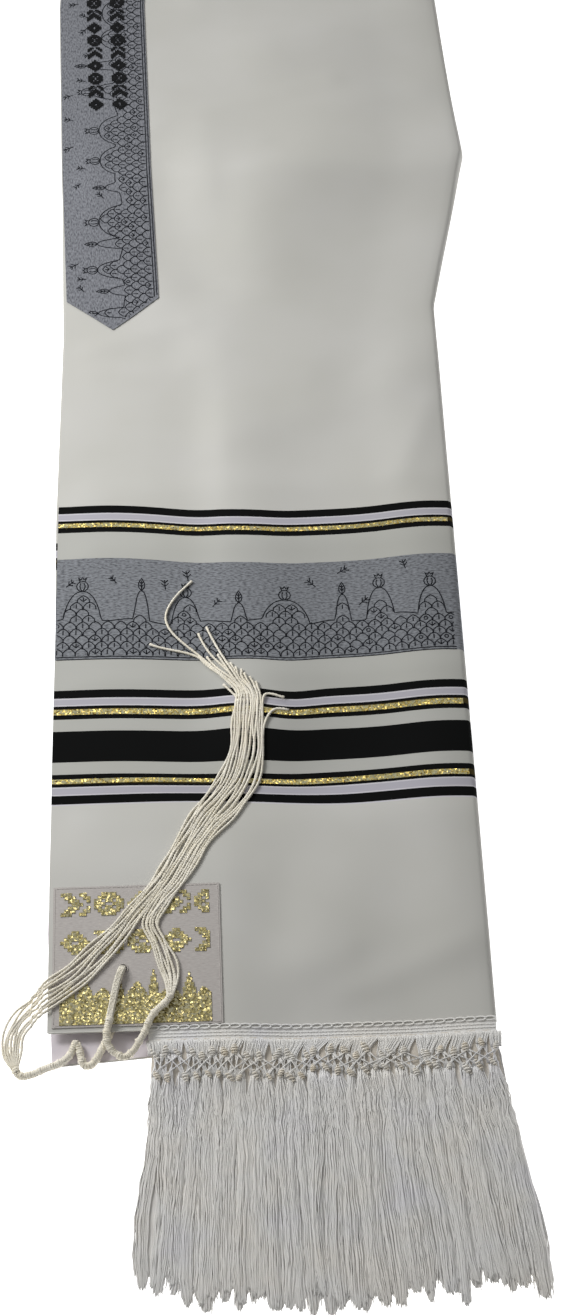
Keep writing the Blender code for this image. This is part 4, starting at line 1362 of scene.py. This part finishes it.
def net_routes(near, locks, shuffle):
    """Slanting yarn groups between the heading and the knots, and the knots' wrappings."""
    groups, wraps = [], []
    span = FRONT_KIND.yarns_to - FRONT_KIND.yarns_from
    half = GROUP_WIDTH / 2 / span
    upper = [NetKnot(lock.middle - lock.half, KNOT_ROWS[0]) for lock in locks] + [NetKnot(1.0, KNOT_ROWS[0])]
    lower = [NetKnot(lock.middle, KNOT_ROWS[1]) for lock in locks]
    upper, lower = ([slipped(knot, span, shuffle) for knot in row] for row in (upper, lower))
    strands = []
    for index, knot in enumerate(upper):
        for side in (-1, 1):
            root = NetKnot(index / len(locks), STRIP_DEPTH - 0.002)
            strands.append((root, side * 0.52 / len(locks), knot, side * half, 0.0))
    for index, knot in enumerate(lower):
        for side in (-1, 1):
            strands.append((upper[index + (side + 1) // 2], -side * half, knot, side * half, 0.0))
    for index in range(len(lower) - 1):
        for start, end in ((upper[index], lower[index + 1]), (upper[index + 2], lower[index])):
            strands.append((start, half * 0.6, end, -half * 0.6, CROSS_LIFT))
    for start, start_reach, end, end_reach, over in strands:
        count = CROSS_YARNS if over else GROUP_YARNS // 2 + 1
        for yarn in range(count):
            lane = (yarn + 0.5) / count
            arch = shuffle.uniform(0.0, 0.0009)
            route = []
            for step in range(7):
                share = step / 6
                at = blend(start.share + lane * start_reach, end.share + lane * end_reach, smooth(share))
                at += shuffle.uniform(-1, 1) * 0.00015 / span
                depth = blend(start.depth, end.depth + 0.001, share)
                lift = mat_top(0.0, 0.0) + 0.0003 + (arch + over) * math.sin(math.pi * share) + 0.0006 * share
                route.append((hung(True, near, FRONT_KIND, at, depth, lift), 1.0, 0.0))
            groups.append(route)
    for knot in upper + lower:
        middle = hung(True, near, FRONT_KIND, knot.share, knot.depth, KNOT_LIFT)
        wraps.append(knot_wrap(middle, shuffle.uniform(0.0014, 0.0022), shuffle.uniform(0.0026, 0.0044), shuffle))
    return groups, wraps


ecru, tree, shader = new_material("unbleached_wrapping_yarn")
spot = add(tree, "ShaderNodeTexCoord")
patchy = add(tree, "ShaderNodeTexNoise", {"Vector": spot.outputs["Object"], "Scale": 70.0, "Detail": 2.0})
ecru_colour = add(
    tree,
    "ShaderNodeValToRGB",
    {"Fac": patchy.outputs["Fac"]},
    stops=((0.35, linear("EFE5D2")), (0.65, linear("F6F3EC"))),
)
tree.links.new(ecru_colour.outputs["Color"], shader.inputs["Base Color"])
shader.inputs["Roughness"].default_value = 0.75
shader.inputs["Specular IOR Level"].default_value = 0.2


def heading_stitches(near):
    """Flat loops that sew the heading over the hem, and the fine dotted threads under them."""
    routes = []
    count = round((FRINGE_END - FRONT_KIND.start) / 0.0068)
    pitch = (FRINGE_END - FRONT_KIND.start) / count
    for index in range(count):
        middle = FRONT_KIND.start + (index + 0.5) * pitch
        route = []
        for step in range(13):
            angle = 2 * math.pi * step / 12
            across = middle + pitch * 0.55 * math.cos(angle)
            spot = hem_spot(True, near, across, -0.0012 + 0.0014 * math.sin(angle))
            spot.z += SOLID_WALL / 2 + 0.0005 + 0.0003 * math.cos(angle)
            route.append((spot, 1.0, 0.0))
        routes.append(route)
    for distance in (0.0028, 0.0052, 0.0080):
        route = []
        for step in range(230):
            across = blend(FRONT_KIND.start, FRINGE_END, step / 229)
            spot = hem_spot(True, near, across, distance + 0.0002 * math.sin(step * 1.9))
            spot.z += STRIP_WALL / 2 + 0.0001
            route.append((spot, 0.55 + 0.45 * (step % 2), 0.0))
        routes.append(route)
    return routes


for end in ("near", "far"):
    near = end == "near"
    shuffle = random.Random(f"knots {end}")
    groups, wraps = net_routes(near, front_locks[end], shuffle)
    corners = ((-YARN_WIDTH / 2, -YARN_RISE), (YARN_WIDTH / 2, -YARN_RISE), (0.0, YARN_RISE * 1.6))
    net = swept(f"fringe_net_{end}", groups, rayon, corners, twist="Z_UP")
    knots = swept(f"fringe_knots_{end}", wraps, ecru, round_corners(0.00065, 4))
    stitches = swept(f"fringe_stitches_{end}", heading_stitches(near), rayon, round_corners(0.0006, 5))
    for piece in (net, knots, stitches):
        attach(piece, "root")
        fringe_pieces.append(piece)


# ---------------------------------------------------------------------------------------------------------
# Tassels (tzitzit): eight cream wool strings, each of two plies, hang from every eyelet. They are wound and
# knotted into a lumpy cord for about 13 cm, and end in loose strings, which here lie across the shawl.
STRINGS = 8
STRING_RADIUS = 0.00105
PLY_TURN = 0.011
STRING_STEP = 0.0020
LANE_SLIP = 0.034
CORD_RADIUS = 0.0026
WRAP_RADIUS = 0.0008

CordRow = namedtuple("CordRow", "across along height")
FRONT_CORD = (
    CordRow(0.0510, 0.0455, 0.0111),
    CordRow(0.0500, 0.0415, 0.0136),
    CordRow(0.0475, 0.0340, 0.0129),
    CordRow(0.0448, 0.0200, 0.0127),
    CordRow(0.0424, 0.0060, 0.0127),
    CordRow(0.0405, -0.0050, 0.0113),
    CordRow(0.0435, -0.0130, 0.0082),
    CordRow(0.0515, -0.0180, 0.0072),
    CordRow(0.0580, -0.0145, 0.0084),
    CordRow(0.0625, -0.0080, 0.0106),
    CordRow(0.0660, -0.0025, 0.0120),
    CordRow(0.0695, 0.0060, 0.0130),
    CordRow(0.0735, 0.0120, 0.0128),
    CordRow(0.0800, 0.0180, 0.0130),
    CordRow(0.0832, 0.0230, 0.0138),
)
UNDER_CORD = (
    CordRow(0.0510, 0.0271, 0.0041),
    CordRow(0.0502, 0.0237, 0.0052),
    CordRow(0.0470, 0.0120, 0.0050),
    CordRow(0.0430, 0.0010, 0.0050),
    CordRow(0.0385, -0.0080, 0.0050),
    CordRow(0.0345, -0.0165, 0.0052),
    CordRow(0.0300, -0.0225, 0.0052),
    CordRow(0.0250, -0.0215, 0.0052),
    CordRow(0.0225, -0.0125, 0.0052),
    CordRow(0.0198, -0.0065, 0.0053),
    CordRow(0.0158, -0.0150, 0.0052),
    CordRow(0.0090, -0.0205, 0.0052),
    CordRow(0.0000, -0.0232, 0.0040),
    CordRow(-0.0090, -0.0265, 0.0028),
    CordRow(-0.0165, -0.0275, 0.0029),
    CordRow(-0.0205, -0.0225, 0.0036),
)
StringRow = namedtuple("StringRow", "across along spread")
FRONT_FAN = (
    StringRow(0.0830, 0.0222, 0.0030),
    StringRow(0.0835, 0.0350, 0.0085),
    StringRow(0.0805, 0.0480, 0.0115),
    StringRow(0.0750, 0.0640, 0.0105),
    StringRow(0.0695, 0.0785, 0.0095),
)
UNDER_FAN = (
    StringRow(-0.0203, -0.0227, 0.0030),
    StringRow(-0.0225, -0.0110, 0.0115),
    StringRow(-0.0215, 0.0030, 0.0135),
    StringRow(-0.0150, 0.0150, 0.0155),
    StringRow(-0.0040, 0.0235, 0.0175),
    StringRow(0.0085, 0.0320, 0.0180),
    StringRow(0.0215, 0.0425, 0.0185),
    StringRow(0.0345, 0.0560, 0.0175),
    StringRow(0.0465, 0.0705, 0.0145),
    StringRow(0.0570, 0.0850, 0.0115),
)
BUNDLE = (
    StringRow(0.0725, 0.0960, 0.0205),
    StringRow(0.0825, 0.1100, 0.0205),
    StringRow(0.0910, 0.1270, 0.0210),
    StringRow(0.0990, 0.1430, 0.0230),
    StringRow(0.1090, 0.1600, 0.0255),
    StringRow(0.1210, 0.1750, 0.0270),
    StringRow(0.1320, 0.1930, 0.0270),
    StringRow(0.1380, 0.2140, 0.0250),
    StringRow(0.1400, 0.2360, 0.0230),
    StringRow(0.1415, 0.2570, 0.0190),
    StringRow(0.1400, 0.2660, 0.0182),
    StringRow(0.1335, 0.2760, 0.0180),
)
EndRow = namedtuple("EndRow", "rows across along bend_across bend_along")
UNDER_ENDS = (
    EndRow(10, 0.1232, 0.2722, 0.1290, 0.2640),
    EndRow(12, 0.0690, 0.3120, 0.1042, 0.2978),
    EndRow(12, 0.1052, 0.2993, 0.1170, 0.2852),
    EndRow(12, 0.1000, 0.3680, 0.0815, 0.3310),
    EndRow(12, 0.1110, 0.2985, 0.1200, 0.2868),
    EndRow(12, 0.1053, 0.3200, 0.1150, 0.2985),
    EndRow(12, 0.1180, 0.2990, 0.1240, 0.2885),
    EndRow(12, 0.1110, 0.3249, 0.1205, 0.3010),
)
FRONT_ENDS = (
    EndRow(12, 0.1275, 0.2905, 0.1310, 0.2838),
    EndRow(12, 0.1322, 0.2868, 0.1336, 0.2825),
    EndRow(12, 0.1352, 0.2838, 0.1357, 0.2812),
    EndRow(11, 0.1378, 0.2800, 0.1400, 0.2755),
    EndRow(11, 0.1415, 0.2765, 0.1435, 0.2725),
    EndRow(11, 0.1453, 0.2720, 0.1460, 0.2700),
    EndRow(9, 0.1665, 0.2580, 0.1520, 0.2600),
    EndRow(9, 0.1695, 0.2475, 0.1585, 0.2475),
)
PLAIN_FRONT_FAN = (
    StringRow(0.0830, 0.0222, 0.0030),
    StringRow(0.0860, 0.0400, 0.0100),
    StringRow(0.0960, 0.0800, 0.0120),
    StringRow(0.1080, 0.1200, 0.0125),
    StringRow(0.1190, 0.1650, 0.0125),
    StringRow(0.1270, 0.2150, 0.0120),
    StringRow(0.1330, 0.2600, 0.0130),
    StringRow(0.1350, 0.3000, 0.0160),
)
PLAIN_UNDER_FAN = (
    StringRow(-0.0203, -0.0227, 0.0030),
    StringRow(-0.0225, -0.0110, 0.0115),
    StringRow(-0.0205, 0.0020, 0.0150),
    StringRow(-0.0120, 0.0120, 0.0180),
    StringRow(-0.0010, 0.0230, 0.0150),
    StringRow(0.0160, 0.0500, 0.0125),
    StringRow(0.0400, 0.0950, 0.0120),
    StringRow(0.0620, 0.1450, 0.0120),
    StringRow(0.0770, 0.2050, 0.0125),
    StringRow(0.0830, 0.2600, 0.0150),
)

cream_wool, tree, shader = new_material("plied_cream_wool")
spot = add(tree, "ShaderNodeTexCoord")
patchy = add(tree, "ShaderNodeTexNoise", {"Vector": spot.outputs["Object"], "Scale": 60.0, "Detail": 3.0})
wool_colour = add(
    tree,
    "ShaderNodeValToRGB",
    {"Fac": patchy.outputs["Fac"]},
    stops=((0.3, linear("F0E9D6")), (0.7, linear("F8F3E6"))),
)
fuzz = add(tree, "ShaderNodeTexNoise", {"Vector": spot.outputs["Object"], "Scale": 2600.0, "Detail": 1.0})
fuzz_bump = add(tree, "ShaderNodeBump", {"Height": fuzz.outputs["Fac"], "Strength": 0.28, "Distance": 0.0002})
tree.links.new(wool_colour.outputs["Color"], shader.inputs["Base Color"])
tree.links.new(fuzz_bump.outputs["Normal"], shader.inputs["Normal"])
shader.inputs["Roughness"].default_value = 0.85
shader.inputs["Specular IOR Level"].default_value = 0.2


def string_plan(fan, ends, order, total, bundle, string, shuffle):
    """Spots in plan of one loose string: its own fan, then its lane in a shared bundle, then its end."""
    rows = list(fan) + list(bundle)
    plan = []
    followed = len(fan) + ends[string].rows if ends else len(rows)
    for index, row in enumerate(rows[:followed]):
        before, after = rows[max(index - 1, 0)], rows[min(index + 1, len(rows) - 1)]
        heading_along = Vector((after.across - before.across, after.along - before.along)).normalized()
        left = Vector((-heading_along.y, heading_along.x))
        shared = index >= len(fan)
        lane = (order * STRINGS + string) / (total * STRINGS - 1) if shared else string / (STRINGS - 1)
        lane += shuffle.uniform(-1, 1) * LANE_SLIP * (0 < index < followed - 1)
        plan.append(Vector((row.across, row.along)) + left * row.spread * (0.5 - lane))
    if ends:
        end = ends[string]
        plan += [Vector((end.bend_across, end.bend_along)), Vector((end.across, end.along))]
    return plan


def lies_on(across, along):
    """What a string lies on: the front layer with its patch, or the table top."""
    if across > outline(along)[0] - 0.001 and -0.001 < along < CLOTH_LENGTH + 0.001:
        on_corner = across < PATCH_INSET + PATCH_WIDTH and from_hem(along) < PATCH_INSET + PATCH_LENGTH
        return front_top(across, along) + (PATCH_SHEET + SEAM_GAP) * on_corner
    return 0.0


def draped(across, along):
    """Height of a string over what it lies on: it leaves an edge in a short slope."""
    heights = [lies_on(across, along)]
    for reach in (0.003, 0.006, 0.010):
        for dx, dy in ((reach, 0), (-reach, 0), (0, reach), (0, -reach)):
            heights.append(lies_on(across + dx, along + dy) - max(reach - 0.002, 0.0) * 0.8)
    return max(heights)


def wound_routes(spots, radius, shuffle):
    """The winding round a cord's strings: close turns, with a fat double knot now and then."""
    route = []
    angle = 0.0
    knots = [shuffle.randint(4, 10)]
    while knots[-1] < len(spots):
        knots.append(knots[-1] + shuffle.randint(24, 46))
    for index, spot in enumerate(spots):
        ahead = (spots[min(index + 1, len(spots) - 1)] - spots[max(index - 1, 0)]).normalized()
        aside = ahead.cross(Vector((0, 0, 1))).normalized()
        up = aside.cross(ahead)
        bulge = max(math.exp(-((index - knot) / 7.0) ** 2) for knot in knots)
        swell = 0.86 + 0.34 * bulge + 0.07 * math.sin(index * 0.31)
        angle += 0.95
        route.append((spot + (aside * math.cos(angle) + up * math.sin(angle)) * radius * swell, 1.0 + 0.2 * bulge, 0.0))
    return route


def make_tassel(end, side, cord, bare, fan, ends, order, total, bundle):
    """One tassel; bare is how much of its cord lies unwound, as eight strings side by side."""
    near, front = end == "near", side == "front"
    shuffle = random.Random(f"tassel {end} {side}")
    far_shift = 0.0 if near or front else BACK_SKEW * 2 * (FOLDED_WIDTH - SOLID_WALL / 2 - FOLD_NOSE - EYELET_ACROSS) / FOLDED_WIDTH

    def to_end(along):
        return along if near else CLOTH_LENGTH - along

    wound = []
    for row in cord:
        along = row.along + far_shift * smooth(row.along / cord[0].along)
        wound.append(place(row.across, to_end(along), row.height))
    core = flowing(wound, 0.0020)
    ribbon = []
    for string in range(STRINGS):
        lane = (string - (STRINGS - 1) / 2) * 0.00044
        layer = 0.0005 if string % 2 else -0.0005
        route = []
        for index, spot in enumerate(core):
            ahead = (core[min(index + 1, len(core) - 1)] - core[max(index - 1, 0)]).normalized()
            aside = ahead.cross(Vector((0, 0, 1))).normalized()
            spot = spot + aside * lane + aside.cross(ahead) * layer
            route.append((spot, 1.0, 2 * math.pi * index * 0.0020 / PLY_TURN + string))
        ribbon.append(route)
    head = swept(f"tassel_cord_{end}_{side}", ribbon, cream_wool, round_corners(STRING_RADIUS, 6, 2, 0.08))
    pieces = [head]
    turns = flowing(wound, 0.00022)[round(bare / 0.00022):]
    winding = wound_routes(turns, CORD_RADIUS - WRAP_RADIUS, shuffle)
    pieces.append(swept(f"tassel_winding_{end}_{side}", [winding], cream_wool, round_corners(WRAP_RADIUS, 5)))
    routes = []
    for string in range(STRINGS):
        plan = string_plan(fan, ends, order, total, bundle, string, shuffle)
        flat_route = flowing([Vector((spot.x, spot.y, 0.0)) for spot in plan], STRING_STEP)
        wander = [(shuffle.uniform(0.03, 0.09), shuffle.uniform(0, 6.3)) for _ in range(2)]
        layer = shuffle.uniform(0.0, 0.0009)
        route = []
        for index, spot in enumerate(flat_route):
            run = index * STRING_STEP
            quiet = smooth(run / 0.03)
            sway = 0.00052 * quiet * sum(math.sin(2 * math.pi * run / wave + phase) for wave, phase in wander)
            ahead = (flat_route[min(index + 1, len(flat_route) - 1)] - flat_route[max(index - 1, 0)]).normalized()
            across, along = spot.x - ahead.y * sway, spot.y + ahead.x * sway
            lift = draped(across, to_end(along)) + STRING_RADIUS + 0.0001
            ripple = layer * (0.5 + 0.5 * math.sin(2 * math.pi * run / wander[0][0] + wander[1][1])) * quiet
            ripple *= smooth((len(flat_route) - index) * STRING_STEP / 0.03)
            height = blend(max(cord[-1].height, lift), lift + ripple, smooth(run / 0.02))
            route.append((place(across, to_end(along), height), 1.0, 2 * math.pi * run / PLY_TURN))
        routes.append(route)
    strings = swept(f"tassel_strings_{end}_{side}", routes, cream_wool, round_corners(STRING_RADIUS, 6, 2, 0.08))
    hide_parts(f"tassel_{end}_{side}")
    pieces.append(strings)
    for piece in pieces:
        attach(piece, "root")
    return pieces


tassel_pieces = []
tassel_pieces += make_tassel("near", "front", FRONT_CORD, 0.040, FRONT_FAN, FRONT_ENDS, 1, 2, BUNDLE)
tassel_pieces += make_tassel("near", "under", UNDER_CORD, 0.012, UNDER_FAN, UNDER_ENDS, 0, 2, BUNDLE)
tassel_pieces += make_tassel("far", "front", FRONT_CORD, 0.040, PLAIN_FRONT_FAN, (), 0, 1, ())
tassel_pieces += make_tassel("far", "under", UNDER_CORD, 0.012, PLAIN_UNDER_FAN, (), 0, 1, ())
